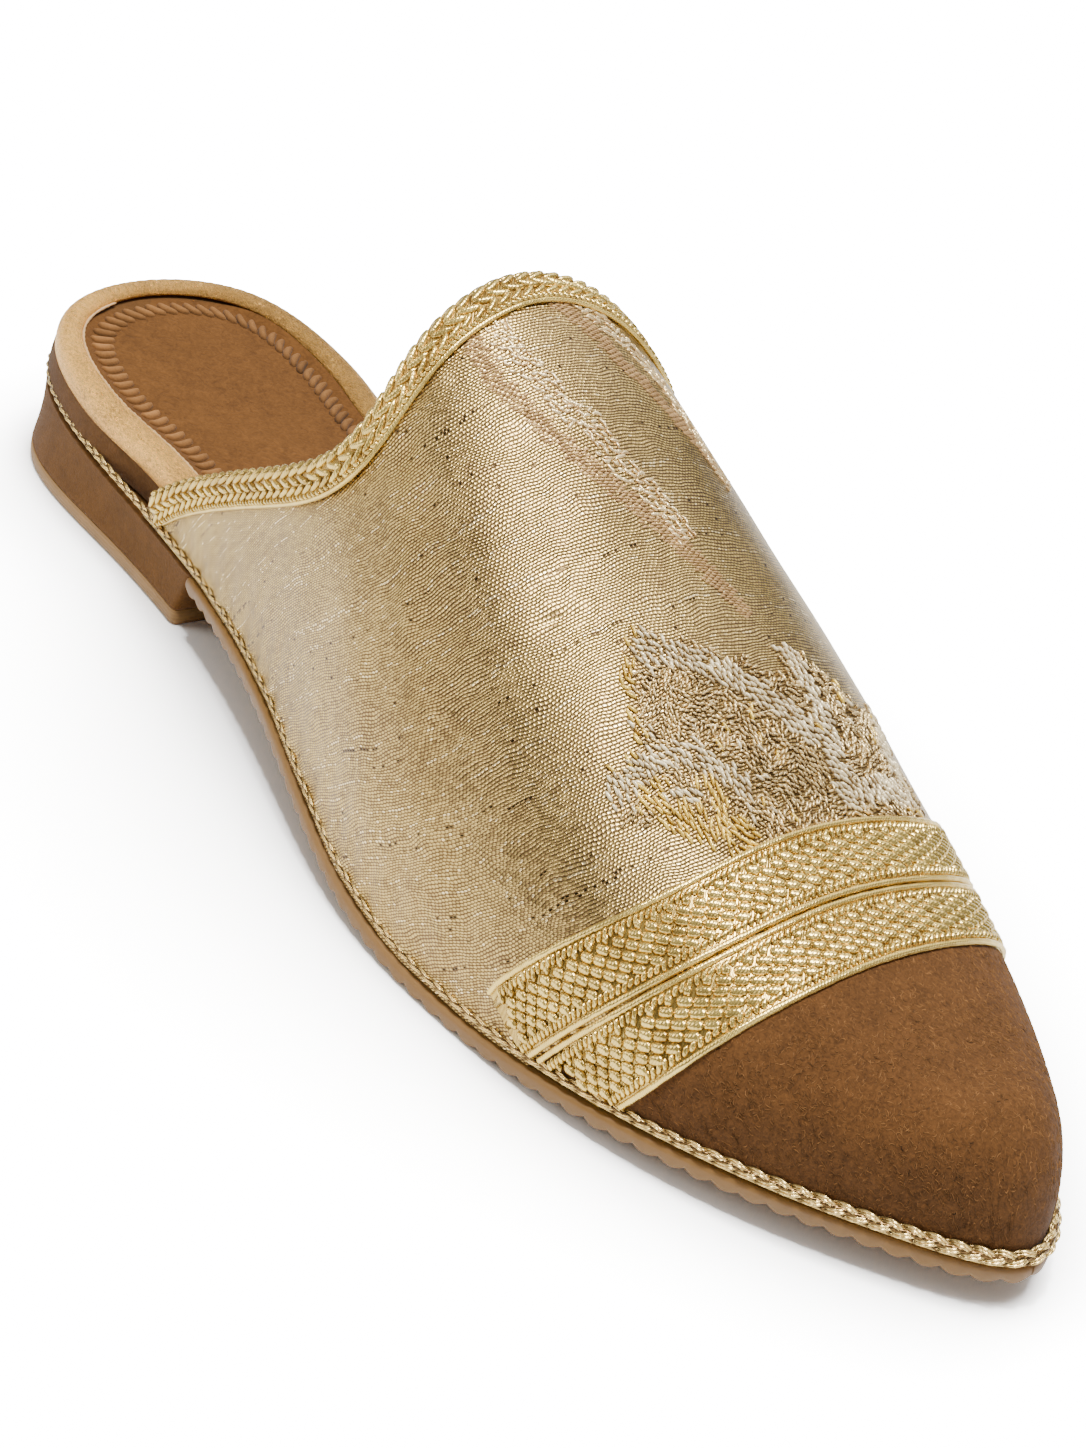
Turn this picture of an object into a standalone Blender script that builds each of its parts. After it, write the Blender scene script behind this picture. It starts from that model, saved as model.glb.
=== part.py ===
"""A babouche slipper: a backless mule on a low heel, as separate solids.

The last is described by a short table of sections.  Every piece is cut from
the same two forms: the edge of the sole in plan, and the skin of the last
above it.  X runs from heel to toe, Y to the wearer's left, Z up, with the
origin under the middle of the slipper on the floor.  The last is straight,
so the left and right halves mirror each other.
"""

import math

import bmesh
import bpy
import numpy as np

# Driving dimensions of the last, in metres
LENGTH = 0.265
HALF_BALL_WIDTH = 0.044
INSTEP_HEIGHT = 0.079
HEEL_HEIGHT = 0.021

# Sections of the last, heel to toe: the share of the length from the heel,
# the half width as a share of HALF_BALL_WIDTH, the height of the feather
# line as a share of HEEL_HEIGHT, the ridge as a share of INSTEP_HEIGHT, and
# the exponent of the section, where 2 is an ellipse and more is boxier
SECTIONS = (
    # along, half_width, feather, ridge, roundness
    (0.00, 0.000, 1.000, 1.030, 2.20),
    (0.03, 0.468, 0.955, 1.030, 2.20),
    (0.10, 0.646, 0.848, 1.030, 2.20),
    (0.20, 0.660, 0.733, 1.040, 2.20),
    (0.32, 0.688, 0.688, 1.075, 2.20),
    (0.46, 0.832, 0.608, 1.042, 2.20),
    (0.60, 0.991, 0.300, 0.783, 2.20),
    (0.70, 0.967, 0.198, 0.611, 2.22),
    (0.80, 0.845, 0.292, 0.438, 2.28),
    (0.89, 0.605, 0.377, 0.342, 2.40),
    (0.96, 0.306, 0.399, 0.322, 2.50),
    (1.00, 0.000, 0.404, 0.312, 2.50),
)
SIDE_BULGE = 0.0015             # how far the shoulders swell past the ellipse
FULL_BULGE_WIDTH = 0.030        # half width from which the bulge is whole
TIP_ROUNDING = 0.0140           # length over which the ridge rounds down
TIP_ROUNDING_POWER = 2.2

# Rear edge of the collar's binding: the share of the girth, from the side of
# the sole to the ridge, and the distance from the heel
COLLAR = (
    # girth, from_heel
    (0.00, 0.0590),
    (0.15, 0.0735),
    (0.30, 0.0940),
    (0.45, 0.1133),
    (0.60, 0.1220),
    (0.75, 0.1209),
    (0.90, 0.1189),
    (1.00, 0.1181),
)
COLLAR_SECTION = 0.105          # section whose girth the shares are taken on

# The line between the two toe bands, in the same way
BAND_SEAM = (
    # girth, from_heel
    (0.00, 0.2028),
    (0.25, 0.2110),
    (0.50, 0.2154),
    (0.75, 0.2164),
    (1.00, 0.2162),
)
BAND_SECTION = 0.210

# Upper and what is sewn on it: levels are measured outward from the skin
FOOT_DROP = 0.0012              # upper's edge below the feather line
WALL = 0.0024                   # lined upper
SKIVED_WALL = 0.0011            # thinned where the collar comes down to the sole
SKIVE_FROM = 0.062
SKIVE_TO = 0.086
CAP_STEP = 0.0012               # step down in the wall under the toe cap
CAP_GAP = 0.0003
TRIM_INSIDE = 0.0004
TRIM_SHOULDER = 0.0005          # rounded edge of the braids
BAND_OUTSIDE = 0.0013
BAND_WIDTH = 0.0097             # at the sole
BAND_SPREAD = 0.15              # wider by this share at the ridge
BAND_GAP = 0.0004
BINDING_OUTSIDE = 0.0016
BINDING_WIDTH = 0.0060
BINDING_WEB = 0.0012            # braid folded over the collar's edge
TUCK = 0.0005                   # upper pulled in behind the cord
TUCK_TOP = 0.0013
TUCK_BLEND = 0.0027
TRIM_FOOT = 0.0016              # braids stop this far above the feather

# Cord round the feather line
CORD_OUT = 0.0012
CORD_RADIUS = 0.0012
CORD_SIDES = 8

# Outsole
SOLE_OUT = 0.0010
SOLE_TOP = 0.0015               # below the feather line
SOLE_BOTTOM = 0.0043
SOLE_REAR = 0.0826
SCALLOP_PITCH = 0.0040
SCALLOP_DEPTH = 0.0010
SCALLOP_BAND = 0.0060           # width of the edge that the scallops cross

# Heel
HEEL_TOP_OUT = 0.0009
HEEL_FOOT_OUT = 0.0008
HEEL_FLARE = 0.0022
HEEL_FLARE_LENGTH = 0.030
BREAST_TOP = 0.0823
BREAST_FOOT = 0.0780
LIFT_HEIGHT = 0.0030
GAP = 0.0003

# Footbed, rim and sock
FOOTBED_HEEL_TOP = 0.0062       # above the feather line
FOOTBED_TOE_TOP = 0.0040
FOOTBED_THIN_FROM = 0.090
FOOTBED_THIN_TO = 0.150
FOOTBED_HEEL_IN = 0.0005        # inside the feather line, in the open heel
FOOTBED_CLEAR = 0.0010          # inside the upper's wall, where that closes round it
FOOTBED_NARROW_FROM = 0.036
FOOTBED_NARROW_TO = 0.060
RIM_END = 0.152                 # rim stops at the last station before this
SOCK_HEEL_IN = 0.0075
SOCK_TOE_IN = 0.0042
SOCK_WIDEN_FROM = 0.168
SOCK_WIDEN_TO = 0.190
SOCK_THICKNESS = 0.0008

# Section of the padded rim: distance in from the footbed's edge and height
# over the footbed, lower and upper point of each pair
RIM_PROFILE = (
    # inward, lower, upper
    (0.0003, 0.0003, 0.0012),
    (0.0018, 0.0003, 0.0023),
    (0.0044, 0.0003, 0.0022),
    (0.0066, 0.0003, 0.0009),
)

# Number of faces
COLLAR_STEPS = 15               # collar to the seam between the bands
CAP_STEPS = 11                  # seam to the tip
GIRTH_STEPS = 32
FOOT_COLUMN = 0.4               # an added column's place in the first step
CORD_STEPS = 36
HEEL_STEPS = 18
FOOTBED_STEPS = (11, 8, 17)     # heel, where it narrows, and forward to the toe
SCALLOP_POINTS = 3

# Colour, roughness and metallic value of each piece
FINISHES = {
    "heel_top_lift": ((0.46, 0.27, 0.12), 0.60, 0.0),
    "heel_block": ((0.24, 0.11, 0.035), 0.95, 0.0),
    "outsole": ((0.42, 0.21, 0.075), 0.55, 0.0),
    "rand_cord": ((0.72, 0.52, 0.33), 0.38, 0.7),
    "footbed": ((0.25, 0.11, 0.035), 0.95, 0.0),
    "insole_rim": ((0.68, 0.50, 0.34), 0.35, 0.6),
    "insole_sock": ((0.33, 0.15, 0.05), 0.95, 0.0),
    "upper": ((0.52, 0.42, 0.26), 0.45, 0.3),
    "toe_cap": ((0.27, 0.12, 0.035), 0.95, 0.0),
    "toe_band_rear": ((0.66, 0.49, 0.20), 0.35, 0.7),
    "toe_band_front": ((0.66, 0.49, 0.20), 0.35, 0.7),
    "collar_binding": ((0.66, 0.49, 0.20), 0.35, 0.7),
}

DENSE = 1601                    # samples along the outline
GIRTH_SAMPLES = 361             # samples round a section
PROBE = 1e-5                    # steps for slopes
ANGLE_PROBE = 0.05
TINY = 1e-6
NO_AREA = 1e-15                 # cross product taken as none


def cubic(knots, values, at, level_start=False, level_end=False):
    """Cubic spline through the values; a level end has no slope there."""
    knots = np.asarray(knots, float)
    values = np.asarray(values, float)
    count = len(knots)
    step = np.diff(knots)
    slope = np.diff(values) / step
    matrix = np.zeros((count, count))
    right = np.zeros(count)
    for row in range(1, count - 1):
        matrix[row, row - 1] = step[row - 1]
        matrix[row, row] = 2 * (step[row - 1] + step[row])
        matrix[row, row + 1] = step[row]
        right[row] = 6 * (slope[row] - slope[row - 1])
    matrix[0, 0] = 1.0
    matrix[-1, -1] = 1.0
    if level_start:
        matrix[0, :2] = 2 * step[0], step[0]
        right[0] = 6 * slope[0]
    if level_end:
        matrix[-1, -2:] = step[-1], 2 * step[-1]
        right[-1] = -6 * slope[-1]
    bend = np.linalg.solve(matrix, right)
    at = np.clip(at, knots[0], knots[-1])
    cell = np.clip(np.searchsorted(knots, at) - 1, 0, count - 2)
    wide = step[cell]
    near = (knots[cell + 1] - at) / wide
    far = (at - knots[cell]) / wide
    line = near * values[cell] + far * values[cell + 1]
    curl = (near**3 - near) * bend[cell] + (far**3 - far) * bend[cell + 1]
    return line + curl * wide**2 / 6


def smooth_step(value, start, end):
    """0 before start, 1 after end, and an S curve between them."""
    share = np.clip((value - start) / (end - start), 0, 1)
    return share * share * (3 - 2 * share)


def crowded(start, end, count, at_start=True, at_end=True):
    """Stations from start to end, closer together at a rounded end."""
    share = np.linspace(0, 1, count + 1)
    if at_start and at_end:
        share = 0.5 - 0.5 * np.cos(math.pi * share)
    elif at_start:
        share = 1 - np.cos(math.pi / 2 * share)
    elif at_end:
        share = np.sin(math.pi / 2 * share)
    return start + (end - start) * share


def make_outline():
    """Half outline of the sole in plan, with its normal and running length."""
    rows = np.array(SECTIONS)
    points = np.c_[rows[:, 0] * LENGTH, rows[:, 1] * HALF_BALL_WIDTH]
    chord = np.linalg.norm(np.diff(points, axis=0), axis=1)
    knots = np.r_[0, np.cumsum(np.sqrt(chord))]
    share = 0.5 - 0.5 * np.cos(np.linspace(0, math.pi, DENSE))
    along = cubic(knots, points[:, 0], share * knots[-1], True, True)
    half = cubic(knots, points[:, 1], share * knots[-1])
    half[[0, -1]] = 0
    run = np.r_[0, np.cumsum(np.hypot(np.diff(along), np.diff(half)))]
    slope_x = np.gradient(along, run)
    slope_y = np.gradient(half, run)
    size = np.hypot(slope_x, slope_y)
    normal = np.c_[-slope_y / size, slope_x / size]
    normal[0] = -1, 0
    normal[-1] = 1, 0
    return along, half, normal, run


ALONG, HALF, NORMAL, RUN = make_outline()
MIDDLE = (LENGTH + CORD_OUT + CORD_RADIUS - HEEL_FOOT_OUT - HEEL_FLARE) / 2


def half_width(x):
    """Half width of the last at a distance from the heel."""
    return np.interp(x, ALONG, HALF)


def feather(x):
    """Height of the feather line, where sole and upper meet."""
    rows = np.array(SECTIONS)
    return cubic(rows[:, 0] * LENGTH, rows[:, 2] * HEEL_HEIGHT, x)


def ridge(x):
    """Height of the top of the last."""
    rows = np.array(SECTIONS)
    return cubic(rows[:, 0] * LENGTH, rows[:, 3] * INSTEP_HEIGHT, x)


def roundness(x):
    """Exponent of the section."""
    rows = np.array(SECTIONS)
    return cubic(rows[:, 0] * LENGTH, rows[:, 4], x)


def wall(x):
    """Thickness of the lined upper, skived thin at the collar's ends."""
    return SKIVED_WALL + (WALL - SKIVED_WALL) * smooth_step(x, SKIVE_FROM, SKIVE_TO)


def edge(x, out):
    """Outline point at station x, moved outward in plan: x and half width."""
    normal_x = np.interp(x, ALONG, NORMAL[:, 0])
    normal_y = np.interp(x, ALONG, NORMAL[:, 1])
    half = half_width(x) + normal_y * out
    return x + normal_x * out, np.where(half < TINY, 0, half)


def skin(x, angle):
    """Last's skin: angle 0 is the right side, 90 the ridge, 180 the left.

    Each section is a superellipse on the feather line with swollen
    shoulders, and its height rounds down to nothing at the tip.
    """
    half = half_width(x)
    foot = feather(x) - FOOT_DROP
    tip = np.clip((x - LENGTH + TIP_ROUNDING) / TIP_ROUNDING, 0, 1)
    height = (ridge(x) - foot) * np.sqrt(1 - tip**TIP_ROUNDING_POWER)
    cosine = np.cos(np.radians(angle))
    sine = np.abs(np.sin(np.radians(angle)))
    power = 2 / roundness(x)
    bulge = SIDE_BULGE * np.clip(half / FULL_BULGE_WIDTH, 0, 1)
    side = np.sign(cosine) * half * np.abs(cosine)**power
    side = side + bulge * np.sin(np.radians(2 * angle))
    return np.stack(np.broadcast_arrays(x, -side, foot + height * sine**power), -1)


def surface(x, angle, level, tuck=TUCK):
    """Point at a level outward from the skin, tucked in behind the cord."""
    x, angle, level = np.broadcast_arrays(
        np.asarray(x, float), np.asarray(angle, float), np.asarray(level, float)
    )
    point = skin(x, angle)
    ahead = skin(np.clip(x + PROBE, 0, LENGTH), angle)
    behind = skin(np.clip(x - PROBE, 0, LENGTH), angle)
    over = skin(x, np.clip(angle + ANGLE_PROBE, 0, 180))
    under = skin(x, np.clip(angle - ANGLE_PROBE, 0, 180))
    normal = np.cross(ahead - behind, over - under)
    size = np.linalg.norm(normal, axis=-1, keepdims=True)
    nose = (LENGTH - x)[..., None] < TINY
    normal = np.where(nose, (1.0, 0.0, 0.0), normal / np.maximum(size, NO_AREA))
    rise = point[..., 2] - feather(x)
    tucked = tuck * (1 - smooth_step(rise, TUCK_TOP, TUCK_TOP + TUCK_BLEND))
    return point + normal * (level - tucked)[..., None]


def girth_run(x):
    """Angles round the section at x, closer at its feet, and the length to each."""
    dense = crowded(0, 180, GIRTH_SAMPLES - 1)
    steps = np.linalg.norm(np.diff(skin(x, dense), axis=0), axis=1)
    return dense, np.r_[0, np.cumsum(steps)]


def symmetric_curve(table, section, angle):
    """Distance from the heel of a curve given from one side to the ridge."""
    rows = np.array(table)
    dense, run = girth_run(section)
    folded = np.interp(np.minimum(angle, 180 - angle), dense, run)
    return cubic(rows[:, 0], rows[:, 1], folded * 2 / run[-1], level_end=True)


def columns():
    """Angles of the columns round the upper: even, with one more at each foot."""
    dense, run = girth_run(BAND_SECTION)
    share = np.linspace(0, 1, GIRTH_STEPS + 1)
    foot = share[1] * FOOT_COLUMN
    share = np.sort(np.r_[share, foot, 1 - foot])
    return np.interp(share * run[-1], run, dense)


def angle_above(x, rise):
    """Lowest angle at which the skin is this far above the feather line."""
    height = ridge(x) - feather(x) + FOOT_DROP
    share = (rise + FOOT_DROP) / height
    return np.degrees(np.arcsin(share ** (roundness(x) / 2)))


def shifted(curve, distance, spread=0.0):
    """A curve over the skin moved forward, square to itself.

    The skin is rolled out flat into the length along the last and the
    girth from the ridge, where the curve is offset and read back.  The
    distance grows by the share spread from the sides to the ridge.
    """
    angle = crowded(0, 180, GIRTH_SAMPLES - 1)
    distance = distance * (1 + spread * np.sin(np.radians(angle))**2)
    x = curve(angle)
    ahead = skin(x + PROBE, angle) - skin(x, angle)
    stretch = np.linalg.norm(ahead, axis=-1) / PROBE
    girth = np.empty_like(x)
    for index, station in enumerate(x):
        run = girth_run(station)[1]
        girth[index] = run[index] - run[-1] / 2
    step_x = np.gradient(x) * stretch
    step_g = np.gradient(girth)
    size = np.hypot(step_x, step_g)
    new_x = x + distance * step_g / size / stretch
    new_girth = girth - distance * step_x / size
    new_angle = np.empty_like(angle)
    for index, station in enumerate(new_x):
        dense, run = girth_run(station)
        new_angle[index] = np.interp(new_girth[index], run - run[-1] / 2, dense)
    inside = (new_angle > 0) & (new_angle < 180)
    return lambda at: np.interp(at, new_angle[inside], new_x[inside])


def solid(name, grid, closed=False):
    """Solid from rows of closed profiles; its ends are laddered shut.

    A profile holds an even number of points.  At an end, the first point
    is joined to the last, the second to the last but one, and so on.
    """
    grid = np.asarray(grid, float).copy()
    grid[..., 0] -= MIDDLE
    rows, count = grid.shape[:2]
    mesh = bmesh.new()
    points = [[mesh.verts.new(point) for point in row] for row in grid]
    for row in range(rows if closed else rows - 1):
        here = points[row]
        there = points[(row + 1) % rows]
        for k in range(count):
            after = (k + 1) % count
            mesh.faces.new((here[k], here[after], there[after], there[k]))
    if not closed:
        for row in (points[0], points[-1]):
            for k in range(count // 2 - 1):
                other = count - 1 - k
                mesh.faces.new((row[k], row[k + 1], row[other - 1], row[other]))
    bmesh.ops.remove_doubles(mesh, verts=mesh.verts, dist=TINY)
    bmesh.ops.dissolve_degenerate(mesh, edges=mesh.edges, dist=TINY)
    bmesh.ops.recalc_face_normals(mesh, faces=mesh.faces)
    data = bpy.data.meshes.new(name)
    mesh.to_mesh(data)
    mesh.free()
    data.shade_smooth()
    data.set_sharp_from_angle(angle=math.radians(40))
    data.materials.append(finish(name))
    piece = bpy.data.objects.new(name, data)
    bpy.context.scene.collection.objects.link(piece)
    return piece


def finish(name):
    """Principled material of a piece."""
    colour, roughness, metallic = FINISHES[name]
    material = bpy.data.materials.new(name)
    material.use_nodes = True
    shader = material.node_tree.nodes["Principled BSDF"]
    shader.inputs["Base Color"].default_value = (*colour, 1.0)
    shader.inputs["Roughness"].default_value = roughness
    shader.inputs["Metallic"].default_value = metallic
    return material


def rails(x, out, height):
    """Right and left points of a layer of the sole at stations x."""
    along, half = edge(x, out)
    height = np.broadcast_to(height, np.shape(along))
    return np.stack((along, -half, height), -1), np.stack((along, half, height), -1)


def stack(name, layers):
    """Solid from layers, top to bottom, each a pair of right and left rails."""
    right = [layer[0] for layer in layers]
    left = [layer[1] for layer in layers]
    return solid(name, np.stack(right + left[::-1], axis=1))


def footbed_in(x):
    """Inset of the footbed's edge from the feather line."""
    share = smooth_step(x, FOOTBED_NARROW_FROM, FOOTBED_NARROW_TO)
    return FOOTBED_HEEL_IN + (wall(x) + FOOTBED_CLEAR - FOOTBED_HEEL_IN) * share


def footbed_top(x):
    """Height of the footbed, thinner under the ball and toes."""
    share = smooth_step(x, FOOTBED_THIN_FROM, FOOTBED_THIN_TO)
    rise = FOOTBED_HEEL_TOP + (FOOTBED_TOE_TOP - FOOTBED_HEEL_TOP) * share
    return feather(x) + rise


def make_heel():
    """Heel block that carries footbed and cord, and the lift under it."""
    top_x = crowded(0, BREAST_TOP, HEEL_STEPS, at_end=False)
    foot_x = crowded(0, BREAST_FOOT, HEEL_STEPS, at_end=False)
    flare = HEEL_FOOT_OUT + HEEL_FLARE * np.exp(-((foot_x / HEEL_FLARE_LENGTH) ** 2))
    top = rails(top_x, HEEL_TOP_OUT, feather(top_x) - SOLE_TOP)
    foot = rails(foot_x, flare, LIFT_HEIGHT + GAP)
    stack("heel_block", [top, foot])
    stack("heel_top_lift", [rails(foot_x, flare, LIFT_HEIGHT), rails(foot_x, flare, 0)])


def make_outsole():
    """Outsole from the heel's breast to the toe, scalloped along its edge.

    The notches of the scallops fade out across a band at the edge.  Under
    the ball the bottom is cut off flat at the floor.
    """
    start = np.interp(SOLE_REAR, ALONG, RUN)
    scallops = round((RUN[-1] - start) / SCALLOP_PITCH)
    index = np.arange(scallops * SCALLOP_POINTS + 1)
    x = np.interp(start + (RUN[-1] - start) * index / index[-1], RUN, ALONG)
    notch = np.where(index % SCALLOP_POINTS == 0, SCALLOP_DEPTH, 0)
    bottom = np.maximum(feather(x) - SOLE_BOTTOM, 0)
    top = rails(x, SOLE_OUT, feather(x) - SOLE_TOP)
    rim = rails(x, SOLE_OUT, bottom + notch)
    centre = rails(x, -SCALLOP_BAND, bottom)
    stack("outsole", [top, rim, centre])


def make_cord():
    """Cord laid round the feather line, all the way round the slipper."""
    x = crowded(0, LENGTH, CORD_STEPS)
    turn = 2 * math.pi * np.arange(CORD_SIDES) / CORD_SIDES
    rings = []
    for side in (0, 1):
        ring = []
        for angle in turn:
            out = CORD_OUT + CORD_RADIUS * math.cos(angle)
            height = feather(x) + CORD_RADIUS * math.sin(angle)
            ring.append(rails(x, out, height)[side])
        rings.append(np.stack(ring, axis=1))
    solid("rand_cord", np.concatenate((rings[0], rings[1][-2:0:-1])), closed=True)


def footbed_stations():
    """Stations shared by footbed, rim and sock, so that their edges nest."""
    heel, narrow, toe = FOOTBED_STEPS
    back = crowded(0, FOOTBED_NARROW_FROM, heel, at_end=False)
    middle = np.linspace(FOOTBED_NARROW_FROM, SKIVE_TO, narrow + 1)
    front = crowded(SKIVE_TO, LENGTH, toe, at_start=False)
    return np.concatenate((back[:-1], middle[:-1], front))


def make_footbed():
    """Footbed, its padded rim at the heel and the sock on it."""
    stations = footbed_stations()
    inset = -footbed_in(stations)
    top = rails(stations, inset, footbed_top(stations))
    bottom = rails(stations, inset, feather(stations) - FOOT_DROP)
    stack("footbed", [top, bottom])

    x = stations[stations < RIM_END]
    rows = np.array(RIM_PROFILE)
    loop = [(inward, lower) for inward, lower, upper in rows]
    loop += [(inward, upper) for inward, lower, upper in rows[::-1]]
    sides = []
    for side in (0, 1):
        ring = [
            rails(x, -footbed_in(x) - inward, footbed_top(x) + rise)[side]
            for inward, rise in loop
        ]
        sides.append(np.stack(ring, axis=1))
    solid("insole_rim", np.concatenate((sides[0][::-1], sides[1][1:])))

    share = smooth_step(stations, SOCK_WIDEN_FROM, SOCK_WIDEN_TO)
    inset = inset + FOOTBED_HEEL_IN - SOCK_HEEL_IN
    inset = inset + (-SOCK_TOE_IN - inset) * share
    under = footbed_top(stations) + GAP
    top = rails(stations, inset, under + SOCK_THICKNESS)
    stack("insole_sock", [top, rails(stations, inset, under)])


def collar_edge(angle):
    """Rear edge of the collar's binding."""
    return symmetric_curve(COLLAR, COLLAR_SECTION, angle)


def band_seam(angle):
    """Line between the two toe bands."""
    return symmetric_curve(BAND_SEAM, BAND_SECTION, angle)


def make_upper():
    """Vamp as one hollow wall, open at the collar and underneath.

    Its outside steps down at the seam between the bands, and the toe cap
    fills the step.
    """
    angle = columns()
    rear = shifted(collar_edge, BINDING_WEB + GAP)(angle)
    seam = band_seam(angle)
    share = np.linspace(0, 1, COLLAR_STEPS + 1)[:, None]
    vamp_x = rear + (seam - rear) * share
    share = crowded(0, 1, CAP_STEPS, at_start=False)[:, None]
    cap_x = seam + (LENGTH - seam) * share
    x = np.concatenate((vamp_x, cap_x))
    level = np.r_[np.zeros(COLLAR_STEPS + 1), np.full(CAP_STEPS + 1, -CAP_STEP)]
    outside = surface(x, angle, level[:, None])
    inside = surface(x, angle, -wall(x))
    solid("upper", np.concatenate((outside, inside[:, ::-1]), axis=1))

    start = seam + CAP_GAP
    cap_x = start + (LENGTH - start) * share
    outside = surface(cap_x, angle, 0)
    inside = surface(cap_x, angle, CAP_GAP - CAP_STEP)
    solid("toe_cap", np.concatenate((outside, inside[:, ::-1]), axis=1))


def trim(name, curve, profile, spread=0.0):
    """Braid swept over the skin: a profile of distances from a curve and levels.

    A negative level is a share of the upper's wall, inward.
    """
    loop = []
    for distance, level in profile:
        line = shifted(curve, distance, spread)
        low = angle_above(line(0.0), TRIM_FOOT)
        angle = 90 + (columns() - 90) * (90 - low) / 90
        x = line(angle)
        if level < 0:
            level = level * wall(x)
        loop.append(surface(x, angle, level, tuck=0))
    solid(name, np.stack(loop, axis=1))


def make_trims():
    """Two toe bands side by side and the binding over the collar."""
    half = BAND_WIDTH / 2
    for name, side in (("toe_band_rear", -1), ("toe_band_front", 1)):
        near = side * (half + BAND_GAP / 2) - half
        far = near + BAND_WIDTH
        across = (near, near + TRIM_SHOULDER, near + half, far - TRIM_SHOULDER, far)
        inside = [(distance, TRIM_INSIDE) for distance in across]
        outside = [(distance, BAND_OUTSIDE) for distance in across]
        outside[0] = (near, BAND_OUTSIDE - TRIM_SHOULDER)
        outside[-1] = (far, BAND_OUTSIDE - TRIM_SHOULDER)
        trim(name, band_seam, inside + outside[::-1], BAND_SPREAD)
    inside = [
        (BINDING_WEB, -1.0),
        (BINDING_WEB, TRIM_INSIDE),
        (BINDING_WEB + TRIM_SHOULDER, TRIM_INSIDE),
        (BINDING_WIDTH - TRIM_SHOULDER, TRIM_INSIDE),
        (BINDING_WIDTH, TRIM_INSIDE),
    ]
    outside = [
        (0.0, -1.0),
        (0.0, BINDING_OUTSIDE - TRIM_SHOULDER),
        (TRIM_SHOULDER, BINDING_OUTSIDE),
        (BINDING_WIDTH - TRIM_SHOULDER, BINDING_OUTSIDE),
        (BINDING_WIDTH, BINDING_OUTSIDE - TRIM_SHOULDER),
    ]
    trim("collar_binding", collar_edge, inside + outside[::-1])


def main():
    """Clear the scene and make every piece."""
    for item in list(bpy.data.objects):
        bpy.data.objects.remove(item)
    make_heel()
    make_outsole()
    make_cord()
    make_footbed()
    make_upper()
    make_trims()


main()
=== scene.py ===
"""Looks of a babouche slipper, built round its CAD frame.

Every visible piece is a fine surface computed from the same last as the CAD
solids: a plan outline with a feather line, and a skin of superellipse
sections above it.  Braids, plaits and stitches are small raised threads
laid on that skin.  Lengths are in metres, X runs from heel to toe, Y to the
wearer's left and Z up; UV maps are in millimetres of cloth or cord.
"""

import math

import bpy
import numpy as np
from mathutils import Matrix, Vector


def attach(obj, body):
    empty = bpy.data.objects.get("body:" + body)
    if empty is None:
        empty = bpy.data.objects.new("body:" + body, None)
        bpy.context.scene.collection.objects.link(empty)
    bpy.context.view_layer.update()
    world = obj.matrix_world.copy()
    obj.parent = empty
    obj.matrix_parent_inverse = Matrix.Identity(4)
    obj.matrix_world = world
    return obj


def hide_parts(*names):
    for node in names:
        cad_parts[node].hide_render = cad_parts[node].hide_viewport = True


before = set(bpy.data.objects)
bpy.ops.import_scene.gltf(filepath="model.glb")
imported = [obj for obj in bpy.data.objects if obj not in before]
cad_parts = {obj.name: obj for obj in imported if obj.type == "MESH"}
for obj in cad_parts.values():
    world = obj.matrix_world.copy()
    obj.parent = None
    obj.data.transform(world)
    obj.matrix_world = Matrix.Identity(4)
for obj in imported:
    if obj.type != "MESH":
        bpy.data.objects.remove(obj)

bl_info = {
    "name": "Babouche slipper",
    "version": (1, 0, 0),
    "blender": (4, 5, 0),
    "location": "View3D > Sidebar > Slipper",
    "description": "Brocade, braid, suede and gum of a babouche slipper",
    "category": "Add Mesh",
}

# Last: the share of the length from the heel, the half width as a share of
# HALF_BALL_WIDTH, the feather line as a share of HEEL_HEIGHT, the ridge as a
# share of INSTEP_HEIGHT, and the exponent of the section
LENGTH = 0.265
HALF_BALL_WIDTH = 0.044
INSTEP_HEIGHT = 0.079
HEEL_HEIGHT = 0.021
SECTIONS = (
    # along, half_width, feather, ridge, roundness
    (0.00, 0.000, 1.000, 1.030, 2.20),
    (0.03, 0.468, 0.955, 1.030, 2.20),
    (0.10, 0.646, 0.848, 1.030, 2.20),
    (0.20, 0.660, 0.733, 1.040, 2.20),
    (0.32, 0.688, 0.688, 1.075, 2.20),
    (0.46, 0.832, 0.608, 1.042, 2.20),
    (0.60, 0.991, 0.300, 0.783, 2.20),
    (0.70, 0.967, 0.198, 0.611, 2.22),
    (0.80, 0.845, 0.292, 0.438, 2.28),
    (0.89, 0.605, 0.377, 0.342, 2.40),
    (0.96, 0.306, 0.399, 0.322, 2.50),
    (1.00, 0.000, 0.404, 0.312, 2.50),
)
SIDE_BULGE = 0.0015
FULL_BULGE_WIDTH = 0.030
TIP_ROUNDING = 0.0140
TIP_ROUNDING_POWER = 2.2
COLLAR = (
    # girth, from_heel
    (0.00, 0.0590), (0.15, 0.0735), (0.30, 0.0940), (0.45, 0.1133),
    (0.60, 0.1220), (0.75, 0.1209), (0.90, 0.1189), (1.00, 0.1181),
)
COLLAR_SECTION = 0.105
BAND_SEAM = (
    # girth, from_heel
    (0.00, 0.2028), (0.25, 0.2110), (0.50, 0.2154), (0.75, 0.2164), (1.00, 0.2162),
)
BAND_SECTION = 0.210
FOOT_DROP = 0.0012
WALL = 0.0024
SKIVED_WALL = 0.0011
SKIVE_FROM = 0.062
SKIVE_TO = 0.086
TRIM_FOOT = 0.0016
BAND_WIDTH = 0.0097
BAND_SPREAD = 0.15
BAND_GAP = 0.0004
BINDING_WIDTH = 0.0060
BINDING_WEB = 0.0012
CORD_OUT = 0.0012
CORD_RADIUS = 0.0012
SOLE_OUT = 0.0010
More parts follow.
